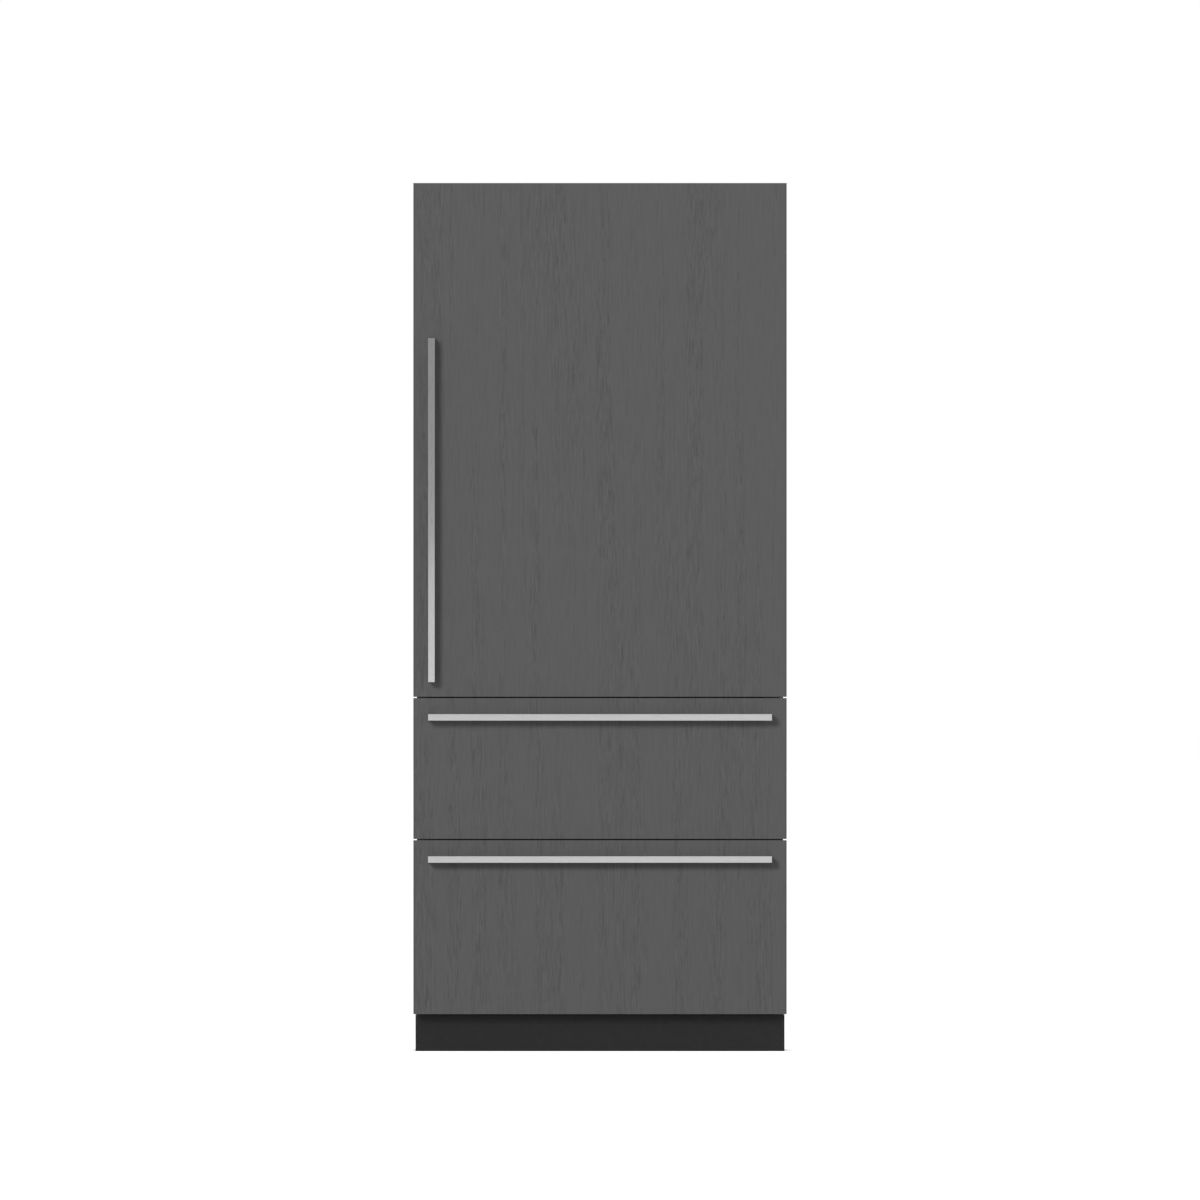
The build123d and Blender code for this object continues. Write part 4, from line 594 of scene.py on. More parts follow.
plugLook = {"pan": 0.0425, "panEdge": 0.0012, "flange": 0.0015, "inset": 0.032, "corner": 0.014}
plugFoot, plugNose = ((3, 0), (0, 4)), ((-0.6, -7.2), (-3, -1.8), (-8.4, 0))
for name in ("upper_drawer", "lower_drawer"):
    low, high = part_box(name + "_core")
    face = low.y + plugLook["pan"]
    shape = bmesh.new()
    addBox(shape, low, (high.x, face, high.z))
    makePiece(pieceName(name) + "-pan", name, "dark_core", shape, (name + "_core",),
              bevel=plugLook["panEdge"])
    shape = bmesh.new()
    addBox(shape, (low.x, face, low.z), (high.x, face + plugLook["flange"], high.z))
    sealLow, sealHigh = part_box(name + "_gasket")
    inset = plugLook["inset"]
    addFrameSweep(shape, fromMm(plugFoot, 0, face) + fromMm(plugNose, 0, high.y),
                  (sealLow.x + inset, sealLow.z + inset), (sealHigh.x - inset, sealHigh.z - inset),
                  plugLook["corner"], closed=False)
    makePiece(pieceName(name) + "-plug", name, "white_liner", shape, sharp=50)
print("stage: drawer fronts")


# Moulded tubs and bins

# The eased foot of a wall: rows of (inset, rise, radius) in shares of the corner's radius
tubFoot = ((0.55, 0, 0.55), (0.16, 0.16, 0.86), (0, 0.55, 1))


def lipRows(wall, top, ease):
    # (inset, height) up the outside of a wall's rounded top edge, and down its inside
    outer = [(0, top - ease), (0.0002, top - 0.0002), (ease, top)]
    return outer, [(wall - inset, z) for inset, z in reversed(outer)]


def addTub(shape, low, high, wall, corner, lean=0.0, flange=None, step=None, steps=5):
    # A moulded shell: up the outside from the floor, over the rim and down inside. Its walls lean in by
    # lean at the floor, flange is (reach, level, thickness) at both sides, step is (y, z) of a raised floor
    back = step[0] if step else high[1]

    def level(inset, z, radius, rear=high[1], out=0.0):
        tilt = inset + lean * (high[2] - z) / (high[2] - low[2])
        return rectLoop((low[0] + tilt - out, low[1] + tilt), (high[0] - tilt + out, rear - tilt),
                        max(radius, 0.0003), z, "XY", steps)

    def skin(inset, radius):
        rows = [level(inset + radius * share, low[2] + inset + radius * rise, radius * bend, back)
                for share, rise, bend in tubFoot]
        if step:
            top = step[1] + inset
            rows += [level(inset, top + rise, radius, back + push)
                     for rise, push in ((-0.004, 0), (-0.001, 0.001), (0, 0.005))]
            rows += [level(inset, top + radius * rise, radius, high[1] - radius * pull)
                     for rise, pull in ((0, 0.5), (0.2, 0.12), (0.6, 0))]
        return rows

    rows = skin(0, corner)
    if flange:
        reach, at, thick = flange
        under = ((-0.0006, 1, 0), (0, 1, 0.0012), (0, 0.6, reach - 0.0004), (0.0004, 0.6, reach))
        rows += [level(0, at + rise, corner * share, out=out) for rise, share, out in under]
        rows += [level(0, at + thick - rise, corner * share, out=out) for rise, share, out in reversed(under)]
    thin = max(corner - wall, 0.0015)
    outer, inner = lipRows(wall, high[2], 0.0007)
    rows += [level(inset, z, corner) for inset, z in outer] + [level(inset, z, thin) for inset, z in inner]
    addLoops(shape, rows + skin(wall, thin)[::-1])


# Door bins: grooved ends drop over the liner's lugs; the dairy box also has ears for its lid's pins

binLook = {"wall": 0.0032, "corner": 0.012, "groove": 0.0029, "grooveTop": 0.0401, "gap": 0.0003,
           "bead": 0.0008, "beadDrop": 0.012, "lift": 0.003, "heights": (0.11, 0.085, 0.085, 0.095),
           "ear": 0.005, "earRoot": 0.004}
binLow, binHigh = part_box("door_bins")


def binPlan(inset, radius, z, groove):
    # The plan of a bin: square at the door side, rounded at the front, with a groove in each end
    half, y0, y1 = binHigh.x - inset, binLow.y + inset, binHigh.y - inset
    start, end = lugFront - binLook["gap"], lugFront + lugLook["depth"] + binLook["gap"]
    right = [(half, y0), (half, start), (half - groove, start), (half - groove, end), (half, end)]
    right += arc((half - radius, y1 - radius), radius, 0, 90, 6)
    return [(x, y, z) for x, y in right] + [(-x, y, z) for x, y in reversed(right)]


def addBin(shape, base, top, lugTop):
    wall, bead = binLook["wall"], binLook["bead"]
    deep, beadTop = binLook["groove"] - bead, top - binLook["beadDrop"]
    outer, inner = lipRows(wall, top, 0.0008)
    rows = [(bead + 0.0016, base, deep), (bead + 0.0004, base + 0.0004, deep), (bead, base + 0.0016, deep),
            (bead, lugTop, deep), (bead, lugTop, 0), (bead, beadTop, 0), (bead * 0.5, beadTop + 0.0004, 0),
            (0, beadTop + 0.0016, 0), *((inset, z, 0) for inset, z in outer + inner), (wall, base + 0.007, 0),
            (wall + 0.001, base + 0.0045, 0), (wall + 0.0035, base + 0.0032, 0)]
    addLoops(shape, [binPlan(inset, max(binLook["corner"] - inset, 0.003), z, groove)
                     for inset, z, groove in rows])


shape = bmesh.new()
for lug, height in zip(lugLevels, binLook["heights"]):
    base = lug + binLook["lift"]
    boxTop = base + height
    addBin(shape, base, boxTop, lug + binLook["grooveTop"])

# The lid turns on pins in the last box's ears
lidLook = {"half": 0.355, "pinIn": 0.008, "pinUp": 0.0018}
pinSection = ((2.5, 0), (2.5, 5.2), (2, 5.8))
lidTopBack, lidUnder = ((-2.5, 0), (-2, 1.1), (-0.8, 1.5)), ((2.2, -1.5), (1.6, -2), (0, -2.5), (-1.8, -1.8))
lidFront = ((-3, 1.5), (-1.2, 1.1), (-0.3, 0.1), (0, -1.5), (0, -17), (-0.8, -17.8), (-2.2, -17.8), (-3, -17),
            (-3, -2.1), (-3.6, -1.5))
pin = (binLow.y + lidLook["pinIn"], boxTop + lidLook["pinUp"])
ear, root = binLook["ear"], boxTop - binLook["earRoot"]
for left, right in bothSides(binHigh.x - ear, binHigh.x):
    outline = arc(pin, ear, 0, 180, 8) + [(pin[0] - ear, root), (pin[0] + ear, root)]
    addOutline(shape, outline, "X", left, right)
dressNode("door_bins", shape, sharp=40)
shape = bmesh.new()
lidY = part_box("dairy_lid")[1].y
outline = fromMm(lidTopBack, *pin) + fromMm(lidFront, lidY, pin[1]) + fromMm(lidUnder, *pin)
addOutline(shape, outline, "X", -lidLook["half"], lidLook["half"])
for side in (-1, 1):
    addLathe(shape, fromMm(pinSection), (side * lidLook["half"], *pin), (side, 0, 0), 16)
dressNode("dairy_lid", shape, sharp=40)
print("stage: door bins")


# Shelves: steel rim round a pane, on two tapered brackets hooked into the tracks

shelfLook = {"tops": (1.126, 1.378, 1.558, 1.798), "rim": 0.014, "rimCorner": 0.006, "pane": 0.005,
             "paneInset": 0.008, "paneEdge": 0.0006, "trackInset": 0.01, "rimGap": 0.0045, "bracket": 0.002,
             "bracketTop": 0.0138, "bracketDeep": 0.0618, "bow": 0.1, "hook": 0.0019, "hookDrop": 0.028}
rimSection = ((0, 1), (-0.3, 0.3), (-1, 0), (-13, 0), (-13.7, 0.3), (-14, 1), (-14, 8.2), (-13.6, 8.6),
              (-7.6, 8.8), (-7.5, 13.2), (-7, 14), (-1, 14), (-0.3, 13.7), (0, 13))
bracketRoot, bracketTip = ((0, 4), (-4, 0), (-34.5, 0), (-54.5, 3)), ((11, -11.5), (8, -9), (7, 0))
hookSection = ((0, 3.4), (3.4, 3.4), (3.4, -9.8), (2, -9.8), (2, -3.4), (0, -3.4))
trackLow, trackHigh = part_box("shelf_tracks")
trackX, trackFace = trackHigh.x - shelfLook["trackInset"], trackLow.y
shelfLow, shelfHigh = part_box("shelf_frames")
rimBack = trackFace - shelfLook["rimGap"]


def addRim(shape, top):
    addFrameSweep(shape, fromMm(rimSection, 0, top - shelfLook["rim"]), (shelfLow.x, shelfLow.y),
                  (shelfHigh.x, rimBack), shelfLook["rimCorner"], "XY")


def addBracket(shape, x, top):
    # Folded plate with an eased lower edge, and two hooks through the track
    z, half = top - shelfLook["bracketTop"], shelfLook["bracket"]
    root = fromMm(bracketRoot, trackFace, z - shelfLook["bracketDeep"])
    tip = fromMm(bracketTip, shelfLow.y, z)
    (y0, z0), (y1, z1) = root[-1], tip[0]
    bows = [(t, t + shelfLook["bow"] * math.sin(math.pi * t)) for t in (0.2, 0.4, 0.6, 0.8)]
    edge = [(y0 + (y1 - y0) * t, z0 + (z1 - z0) * bow) for t, bow in bows]
    addOutline(shape, [(trackFace, z), *root, *edge, *tip], "X", x - half, x + half)
    addBar(shape, hookSection, x, trackFace, top - shelfLook["hookDrop"], shelfLook["hook"])


shape, pane = bmesh.new(), bmesh.new()
standTop, *frameTops = shelfLook["tops"]
for top in frameTops:
    addRim(shape, top)
    for x in (-trackX, trackX):
        addBracket(shape, x, top)
dressNode("shelf_frames", shape, sharp=40)
inset = shelfLook["paneInset"]
for top in shelfLook["tops"]:
    addBox(pane, (shelfLow.x + inset, shelfLow.y + inset, top - shelfLook["pane"]),
           (-shelfLow.x - inset, rimBack - inset, top))
dressNode("shelf_glass", pane, bevel=shelfLook["paneEdge"])

# Stand over the crispers: a wall at each side and in the middle, each with a runner; the two widths are
# a side one's and half the middle one's
standLook = {"front": -0.033, "back": 0.0005, "under": 0.0135, "wall": (0.004, 0.002),
             "runner": (0.012, 0.01), "runnerRise": 0.168, "runnerThick": 0.004, "edge": 0.0006}
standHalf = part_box("crisper_frame")[1].x
runnerZ = fridgeFloor + standLook["runnerRise"]
shape = bmesh.new()
addRim(shape, standTop)
for (wide, middle), base, top in ((standLook["wall"], fridgeFloor, standTop - standLook["under"]),
                                  (standLook["runner"], runnerZ - standLook["runnerThick"], runnerZ)):
    for left, right in ((standHalf - wide, standHalf), (-middle, middle), (-standHalf, wide - standHalf)):
        addBox(shape, (left, standLook["front"], base), (right, rimBack - standLook["back"], top))
makePiece("crisper-frame", "cabinet", "shelf_steel", shape, ("crisper_frame",), bevel=standLook["edge"])

# Crispers: drafted tub, running rims, and a front that curls over into a finger grip
crisperLook = {"back": 0.019, "front": 0.014, "tubInset": 0.009, "wall": 0.0025, "corner": 0.01,
               "lean": 0.003, "seat": 0.0005, "rim": 0.0105, "rimStart": 0.003, "clear": 0.0003,
               "frontCorner": 0.006, "gripHalf": 0.06}
crisperFace = ((0.4, 19), (0, 18.4), (0, 15.2), (0.4, 14.3), (1.4, 14))
gripSection = ((1, -0.2), (-9, -0.2), (-12.4, -0.8), (-13.8, -1.6), (-13.4, -2.4), (-11.5, -2.2), (-2, -2.2),
               (1, -4.5))
for name in ("crisper_left", "crisper_right"):
    low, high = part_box(name)
    tub, face = bmesh.new(), bmesh.new()
    faceBack, rimZ = low.y + crisperLook["back"], runnerZ + crisperLook["clear"]
    inset, wall = crisperLook["tubInset"], crisperLook["wall"]
    addTub(tub, (low.x + inset, faceBack - crisperLook["seat"], low.z),
           (high.x - inset, high.y, rimZ + wall), wall, crisperLook["corner"], crisperLook["lean"])
    for left, right in ((low.x, low.x + crisperLook["rim"]), (high.x - crisperLook["rim"], high.x)):
        addBox(tub, (left, faceBack + crisperLook["rimStart"], rimZ), (right, high.y, rimZ + wall))
    dressNode(name, tub, sharp=40)
    addPlate(face, (low.x, low.z), (high.x, high.z), crisperLook["frontCorner"],
             fromMm(crisperFace, 0, low.y))
    addBar(face, gripSection, (low.x + high.x) / 2, low.y + crisperLook["front"], high.z,
           crisperLook["gripHalf"])
    makePiece(pieceName(name) + "-front", name, "bin_clear", face, sharp=40)
print("stage: shelves and crispers")


# Air ducts: moulded covers with a slanted vane in each slot

ductLook = {"edge": 0.0016, "half": 0.045, "across": 0.15, "pitch": 0.016, "rows": 3, "setback": 0.0006,
            "banks": {"fridge_duct": (1.229, 1.559, 1.889), "freezer_duct": (0.644, 0.744)}}
vaneSection = ((0, -2.65), (8, 1.55), (8, 2.65), (0, -1.55))
vanes = bmesh.new()
for cadNode, banks in ductLook["banks"].items():
    softenNode(cadNode, ductLook["edge"])
    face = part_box(cadNode)[0].y + ductLook["setback"]
    for z in [bank + row * ductLook["pitch"] for bank in banks for row in range(ductLook["rows"])]:
        for x in (-ductLook["across"], ductLook["across"]):
            addBar(vanes, vaneSection, x, face, z, ductLook["half"])
makePiece("duct-vanes", "cabinet", "duct_plastic", vanes)

# Plain pressed and moulded pieces keep the solid's shape, with softened edges
softEdges = {"shelf_tracks": 0.0004, "light_bars": 0.0022, "control_panel": 0.0015,
             "slide_outer_members": 0.0003, "upper_slide_middle": 0.0003, "lower_slide_middle": 0.0003,
             "upper_drawer_frame": 0.0005, "lower_drawer_frame": 0.0005, "ice_maker": 0.0014,
             "ice_feeler_arm": 0.0012, "door_shell": 0.0004, "hinge_bearings": 0.0012, "front_frame": 0.0007,
             "kickplate": 0.0009, "base_pan": 0.0006, "outer_panels": 0.0006, "anti_tip_brackets": 0.0009,
             "fan_housings": 0.0007, "drain_pan": 0.0006, "power_inlet": 0.0009, "water_valve": 0.0012}
kickLook = {"up": 0.0022, "down": 0.0012}  # it comes a little nearer to the panel above it and to the floor
for cadNode, edge in softEdges.items():
    softenNode(cadNode, edge, taller=kickLook if cadNode == "kickplate" else None)

# Two screws through the foot of each anti-tip bracket
tipLook = {"half": 0.03, "sheet": 0.003, "across": 0.018, "back": 0.0135, "screw": 0.0046, "proud": 0.0018}
low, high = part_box("anti_tip_brackets")
shape = bmesh.new()
for middle in (low.x + tipLook["half"], high.x - tipLook["half"]):
    addScrews(shape, [(middle + side * tipLook["across"], low.y + tipLook["back"], low.z + tipLook["sheet"])
                      for side in (-1, 1)], upward, tipLook["screw"], tipLook["proud"])
makePiece("anti-tip-screws", "cabinet", "hinge_steel", shape)

# Touch points under the control panel's sloping front
touchLook = {"each": 3, "pitch": 0.032, "back": 0.0062, "rise": 0.0058}
touchSection = ((2.8, -0.2), (2.8, 0.12), (2.2, 0.2), (1.9, 0.08))
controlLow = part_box("control_panel")[0]
shape = bmesh.new()
for k in range(-touchLook["each"], touchLook["each"] + 1):
    spot = (k * touchLook["pitch"], controlLow.y + touchLook["back"], controlLow.z + touchLook["rise"])
    addLathe(shape, fromMm(touchSection), spot, (0, -1, -1), 20)
makePiece("control-touch-points", "cabinet", "lamp_diffuser", shape)

# Balls in the slides' cages, and the screws that hold each drawer's frame to its front
slideLook = {"ball": 0.00225, "pitch": 0.0094, "run": 0.188, "races": ((0.0189, 0.0035), (0.0129, -0.2025)),
             "across": 0.39365, "screwAcross": 0.368, "screwRises": (-0.012, 0.008, 0.029), "flange": 0.002}
screwX = slideLook["screwAcross"]
for name in ("upper", "lower"):
    low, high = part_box(name + "_slide_middle")
    level = (low.z + high.z) / 2
    balls, screws = bmesh.new(), bmesh.new()
    for rise, start in slideLook["races"]:
        for k in range(int(slideLook["run"] / slideLook["pitch"])):
            y = start + (k + 0.6) * slideLook["pitch"]
            for x in (-slideLook["across"], slideLook["across"]):
                for z in (level - rise, level + rise):
                    bmesh.ops.create_icosphere(balls, subdivisions=1, radius=slideLook["ball"],
                                               matrix=Matrix.Translation((x, y, z)))
    makePiece(name + "-slide-balls", name + "_slides", "hinge_steel", balls, sharp=80)
    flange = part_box(name + "_drawer_frame")[0].y + slideLook["flange"]
    addScrews(screws, [(x, flange, level + rise) for x in (-screwX, screwX)
                       for rise in slideLook["screwRises"]], (0, 1, 0))
    makePiece(name + "-frame-screws", name + "_drawer", "hinge_steel", screws)
print("stage: ducts and slides")


# Drawer tubs and tray

tubLook = {"wall": 0.003, "corner": 0.018, "lean": 0.003, "flange": 0.0118, "flangeUnder": 0.011,
           "rim": 0.003, "clear": 0.0002, "step": (0.0735, 0.35), "ledgeDrop": 0.018,
           "ledge": (0.0015, 0.013), "ledgeEnds": 0.0115, "ledgeThick": 0.003, "ledgeEdge": 0.0008}
trayLook = {"wall": 0.0025, "corner": 0.012, "lean": 0.002, "inset": 0.01, "flange": 0.0098,
            "flangeUnder": 0.0117}
for name, step, lean in (("upper_drawer_tub", None, tubLook["lean"]),
                         ("lower_drawer_tub", tubLook["step"], 0.0)):
    low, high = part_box(name)
    half = high.x - tubLook["flange"] - tubLook["clear"]
    shape = bmesh.new()
    flange = (tubLook["flange"], high.z - tubLook["flangeUnder"], tubLook["rim"])
    addTub(shape, (-half, low.y, low.z), (half, high.y, high.z), tubLook["wall"], tubLook["corner"], lean,
           flange, step, 7)
    dressNode(name, shape, sharp=40)

# Ledges inside the lower tub, on which the tray slides
shape = bmesh.new()
top, ends = high.z - tubLook["ledgeDrop"], tubLook["ledgeEnds"]
near, far = tubLook["ledge"]
for left, right in ((half - far, half - near), (near - half, far - half)):
    addBox(shape, (left, low.y + ends, top - tubLook["ledgeThick"]), (right, high.y - ends, top))
makePiece("tray-ledges", "lower_drawer", "tub_plastic", shape, bevel=tubLook["ledgeEdge"])
low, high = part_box("drawer_tray")
inset, wall = trayLook["inset"], trayLook["wall"]
shape = bmesh.new()
addTub(shape, (low.x + inset, low.y, low.z), (high.x - inset, high.y, high.z), wall, trayLook["corner"],
       trayLook["lean"], (trayLook["flange"], high.z - trayLook["flangeUnder"], wall), steps=6)
dressNode("drawer_tray", shape, sharp=40)
print("stage: tubs")


# Ice ejector: round shaft with a hooked finger over each cup

iceLook = {"shaftRise": 0.00386, "cups": 6, "first": 0.0162, "pitch": 0.0318, "finger": 0.0024}
shaftEnd = ((3.4, 0), (4, 0.6))
fingerFoot = ((-3, 0), (3, 8), (3, 0))
fingerTip = ((-3, -8), (-2.6, -3), (-1.6, -0.6), (0, 0), (1.6, -1), (2.2, -4))
ejectLow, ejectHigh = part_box("ice_ejector")
iceX, shaftZ = (ejectLow.x + ejectHigh.x) / 2, ejectLow.z + iceLook["shaftRise"]
length = ejectHigh.y - ejectLow.y
shape = bmesh.new()
addLathe(shape, fromMm(shaftEnd) + [(radius, length - y) for radius, y in reversed(fromMm(shaftEnd))],
         (iceX, ejectLow.y, shaftZ), (0, 1, 0), 20)
heel, *toe = fromMm(fingerFoot, iceX, shaftZ)
for k in range(iceLook["cups"]):
    y = ejectLow.y + iceLook["first"] + (k + 0.5) * iceLook["pitch"]
    addOutline(shape, [heel, *fromMm(fingerTip, iceX, ejectHigh.z), *toe], "Y", y - iceLook["finger"],
               y + iceLook["finger"])
dressNode("ice_ejector", shape, sharp=40)

# Cover of the ice maker's gearbox with its two screws, and the rocker switch in it
coverLook = {"inset": 0.009, "half": 0.033, "corner": 0.006, "seat": 0.0002, "proud": 0.0016,
             "edge": 0.0008, "screwIn": 0.008, "screw": 0.0028, "rocker": (0.0085, 0.0055),
             "rockerRise": 0.022, "rockerProud": 0.0038, "rockerLow": 0.55, "rockerCorner": 0.0006,
             "bezel": 0.0018, "bezelEdge": 0.6}
makerLow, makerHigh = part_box("ice_maker")


def addRaisedPlate(shape, middle, half, corner, back, front, edge):
    rows = ((0, back), (0, front + edge), (edge * 0.3, front + edge * 0.3), (edge, front))
    addPlate(shape, *around(middle, half), corner, rows, follow=1)


seat, edge = coverLook["seat"], coverLook["edge"]
coverMiddle = (iceX, (makerLow.z + makerHigh.z) / 2)
coverHalf = (coverLook["half"], (makerHigh.z - makerLow.z) / 2 - coverLook["inset"])
coverFront = makerLow.y - coverLook["proud"]
shape = bmesh.new()
addRaisedPlate(shape, coverMiddle, coverHalf, coverLook["corner"], makerLow.y + seat, coverFront, edge)
makePiece("ice-gearbox-cover", "cabinet", recordSlots["ice_maker"], shape)
wide, tall = coverLook["rocker"]
bezel = coverLook["bezel"]
rockerZ = coverMiddle[1] + coverLook["rockerRise"]
shape = bmesh.new()
addRaisedPlate(shape, (iceX, rockerZ), (wide + bezel, tall + bezel), bezel, coverFront + seat,
               coverFront - edge, edge * coverLook["bezelEdge"])
for side, press in ((-1, 1.0), (1, coverLook["rockerLow"])):
    addRaisedPlate(shape, (iceX + side * wide / 2, rockerZ), (wide / 2, tall), coverLook["rockerCorner"],
                   coverFront, coverFront - coverLook["rockerProud"] * press, edge)
makePiece("ice-maker-rocker", "cabinet", "dark_plastic", shape)
shape = bmesh.new()
screwX, screwZ = coverHalf[0] - coverLook["screwIn"], coverHalf[1] - coverLook["screwIn"]
addScrews(shape, [(iceX + side * screwX, coverFront, coverMiddle[1] - side * screwZ) for side in (-1, 1)],
          (0, -1, 0), coverLook["screw"])
makePiece("ice-cover-screws", "cabinet", "hinge_steel", shape)
print("stage: ice maker")


# Coils: flat tubes between round headers, with a closely folded fin in each gap

coilLook = {"tube": 0.003, "depth": 0.026, "tubeInto": 0.002, "fold": 0.0052, "feet": (-0.0011, -0.0005),
            "header": 0.013, "finSide": 0.0008}
headerEnd = ((0.5, 0), (0.9, 1), (1, 4))


def addCoil(shape, origin, width, passes, pitch, turn=Matrix.Identity(3)):
    def placed(points):
        return [origin + turn @ Vector(point) for point in points]

    radius, tube = coilLook["header"], coilLook["tube"] / 2
    half, deep = width / 2 - 2 * radius, coilLook["depth"] / 2
    section = arc((deep - tube, 0), tube, -90, 90, 4)
    section += [(-y, z) for y, z in reversed(section)]
    for k in range(passes):
        addLoops(shape, [placed([(x, y, k * pitch + z) for y, z in section])
                         for x in (-half - coilLook["tubeInto"], half + coilLook["tubeInto"])])
    profile = shares(headerEnd, radius, -pitch / 2)
    profile += [(r, (passes - 1) * pitch - z) for r, z in reversed(profile)]
    for x in (-half - radius, half + radius):
        addLoops(shape, [placed([(x + u, v, z) for u, v in circle(r, 24)]) for r, z in profile])
    deep -= coilLook["finSide"]
    folds = int(2 * half / coilLook["fold"])
    for k in range(passes - 1):
        ends = (k * pitch + tube, (k + 1) * pitch - tube)
        line = []
        for j in range(folds + 1):
            x = -half + 2 * half * j / folds
            line += [(x + foot, z) for foot, z in zip(coilLook["feet"], ends if j % 2 == 0 else ends[::-1])]
        rows = [[shape.verts.new(point) for point in placed([(x, y, z) for x, z in line])]
                for y in (-deep, deep)]
        for a, b, c, d in zip(rows[0], rows[0][1:], rows[1][1:], rows[1]):
            shape.faces.new((a, b, c, d))


# The condenser stands front to back on a folded bracket
condenserLook = {"x": -0.06, "y": 0.2315, "z": 0.071, "width": 0.18, "passes": 5, "pitch": 0.038,
                 "half": 0.013, "long": 0.089, "sheet": 0.0008, "foot": 0.001, "top": 0.056}
look = condenserLook
shape = bmesh.new()
addCoil(shape, Vector((look["x"], look["y"], look["z"])), look["width"], look["passes"], look["pitch"],
        Matrix.Rotation(math.pi / 2, 3, "Z"))
base, start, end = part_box("condenser")[0].z, look["y"] - look["long"], look["y"] + look["long"]
left, right = look["x"] - look["half"], look["x"] + look["half"]
addBox(shape, (left, start, base), (left + look["sheet"], end, look["top"]))
addBox(shape, (right - look["sheet"], start, base), (right, end, look["top"]))
addBox(shape, (left, start, base), (right, end, base + look["foot"]))
dressNode("condenser", shape, sharp=40)

evaporatorLook = {"y": 0.2725, "floors": (0.969, 0.414), "width": 0.42, "passes": 3, "pitch": 0.08,
                  "plate": 0.002}
plateSection = ((-13, -36), (-9, -40), (19, -40), (19, 200), (-9, 200), (-13, 196))
look = evaporatorLook
shape = bmesh.new()
for floorZ in look["floors"]:
    addCoil(shape, Vector((0, look["y"], floorZ)), look["width"], look["passes"], look["pitch"])
    for left, right in bothSides(look["width"] / 2, look["width"] / 2 + look["plate"]):
        addOutline(shape, fromMm(plateSection, look["y"], floorZ), "X", left, right)
dressNode("evaporators", shape, sharp=40)
print("stage: coils")


# Fans: domed hub and swept, cambered blades; a bell mouth and a round motor on each housing

fanLook = {"blades": 5, "spread": 24.0, "pitch": 25.0, "camber": 0.055, "sweep": 9.0, "thick": 0.0014,
           "thin": 0.0002, "rootTurn": 0.75, "rootFlat": 0.86, "steps": 8, "rows": 7, "rootIn": 0.9,
           "tip": 0.992, "mouthGap": 0.003, "motorGap": 0.0003, "motorSkin": 1.037}
coldFan = {"x": 0, "y": 0.2662, "axis": (0, -1, 0), "radius": 0.052, "hub": 0.016, "hubLength": 0.018,
           "motor": 0.018, "motorLength": 0.016}
fans = {"condenser_fan": {"x": 0.03, "y": 0.2315, "z": 0.142, "axis": (-1, 0, 0), "radius": 0.084,
                          "hub": 0.026, "hubLength": 0.026, "motor": 0.024, "motorLength": 0.03},
        "fridge_fan": coldFan, "freezer_fan": coldFan}
hubSection = ((0.6, -1), (1, -1), (1, 0.55), (0.95, 0.8), (0.8, 0.94), (0.5, 1), (0.22, 1), (0.2, 0.8),
              (0.1, 0.8))  # in shares of the hub's radius and half its length
bellSection = ((0, -3.5), (0, 1.5), (0.8, 3.2), (2.4, 4.2), (4.4, 4.4), (6, 3.6), (6.6, 2), (6.6, 1.4),
               (2.2, 1.2), (1.4, -3.5))
motorFront = ((0.3, 0.1), (0.88, 0), (1, -2.2), (1, -5), (0.985, -5.6))
motorBack = ((0.985, 5.2), (1, 4.6), (1, 2.4), (0.92, 0.4), (0.84, -0.1), (0.4, -0.1))


def bladeLoop(radius, share, turn, root):
    # One closed section of a blade at a radius, upper side out and lower side back
    wide, lean = math.radians(fanLook["spread"]), math.radians(fanLook["pitch"])
    upper, lower = [], []
    for k in range(fanLook["steps"] + 1):
        t = 2 * k / fanLook["steps"] - 1
        turned = fanLook["rootTurn"] + (1 - fanLook["rootTurn"]) * share
        angle = root + t * wide * turned + math.radians(fanLook["sweep"]) * share
        flat = t * wide * radius * (fanLook["rootFlat"] + (1 - fanLook["rootFlat"]) * share)
        rise = flat * math.sin(lean) + (1 - t * t) * fanLook["camber"] * radius * 0.5
        thick = fanLook["thick"] * (1 - t * t) ** 0.5 * 0.5 + fanLook["thin"]
        for line, shift in ((upper, thick), (lower, -thick)):
            line.append(Vector((radius * math.cos(angle), radius * math.sin(angle), rise + shift)))
    return [turn @ point for point in upper + lower[::-1]]


for name, fan in fans.items():
    low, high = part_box(name)
    centre, axis = (fan["x"], fan["y"], fan.get("z", (low.z + high.z) / 2)), fan["axis"]
    turn = turnTo(axis, centre)
    hub, half, rows = fan["hub"], fan["hubLength"] / 2, fanLook["rows"]
    first, last = hub * fanLook["rootIn"], fan["radius"] * fanLook["tip"]
    radii = [first + (last - first) * j / rows for j in range(rows + 1)]
    shape = bmesh.new()
    addLathe(shape, [(hub * u, half * v) for u, v in hubSection], centre, axis, 32)
    for k in range(fanLook["blades"]):
        root = 2 * math.pi * k / fanLook["blades"]
        addLoops(shape, [bladeLoop(radius, j / rows, turn, root) for j, radius in enumerate(radii)])
    dressNode(name, shape, sharp=50)
    shape = bmesh.new()
    bell = fromMm(bellSection, fan["radius"] + fanLook["mouthGap"])
    addLoops(shape, [[turn @ Vector((r * u, r * v, z)) for r, z in bell] for u, v in circle(1, 64)],
             closed=True)
    start, motor = -half - fanLook["motorGap"], fan["motor"] * fanLook["motorSkin"]
    profile = shares(motorFront, motor, start) + shares(motorBack, motor, start - fan["motorLength"])
    addLathe(shape, profile, centre, axis, 32)
    makePiece(pieceName(name) + "-mouth-and-motor", "cabinet", recordSlots["fan_housings"], shape, sharp=40)
print("stage: fans")


# Compressor: welded shell on a ribbed foot, rubber grommets, terminal cover and stub tubes

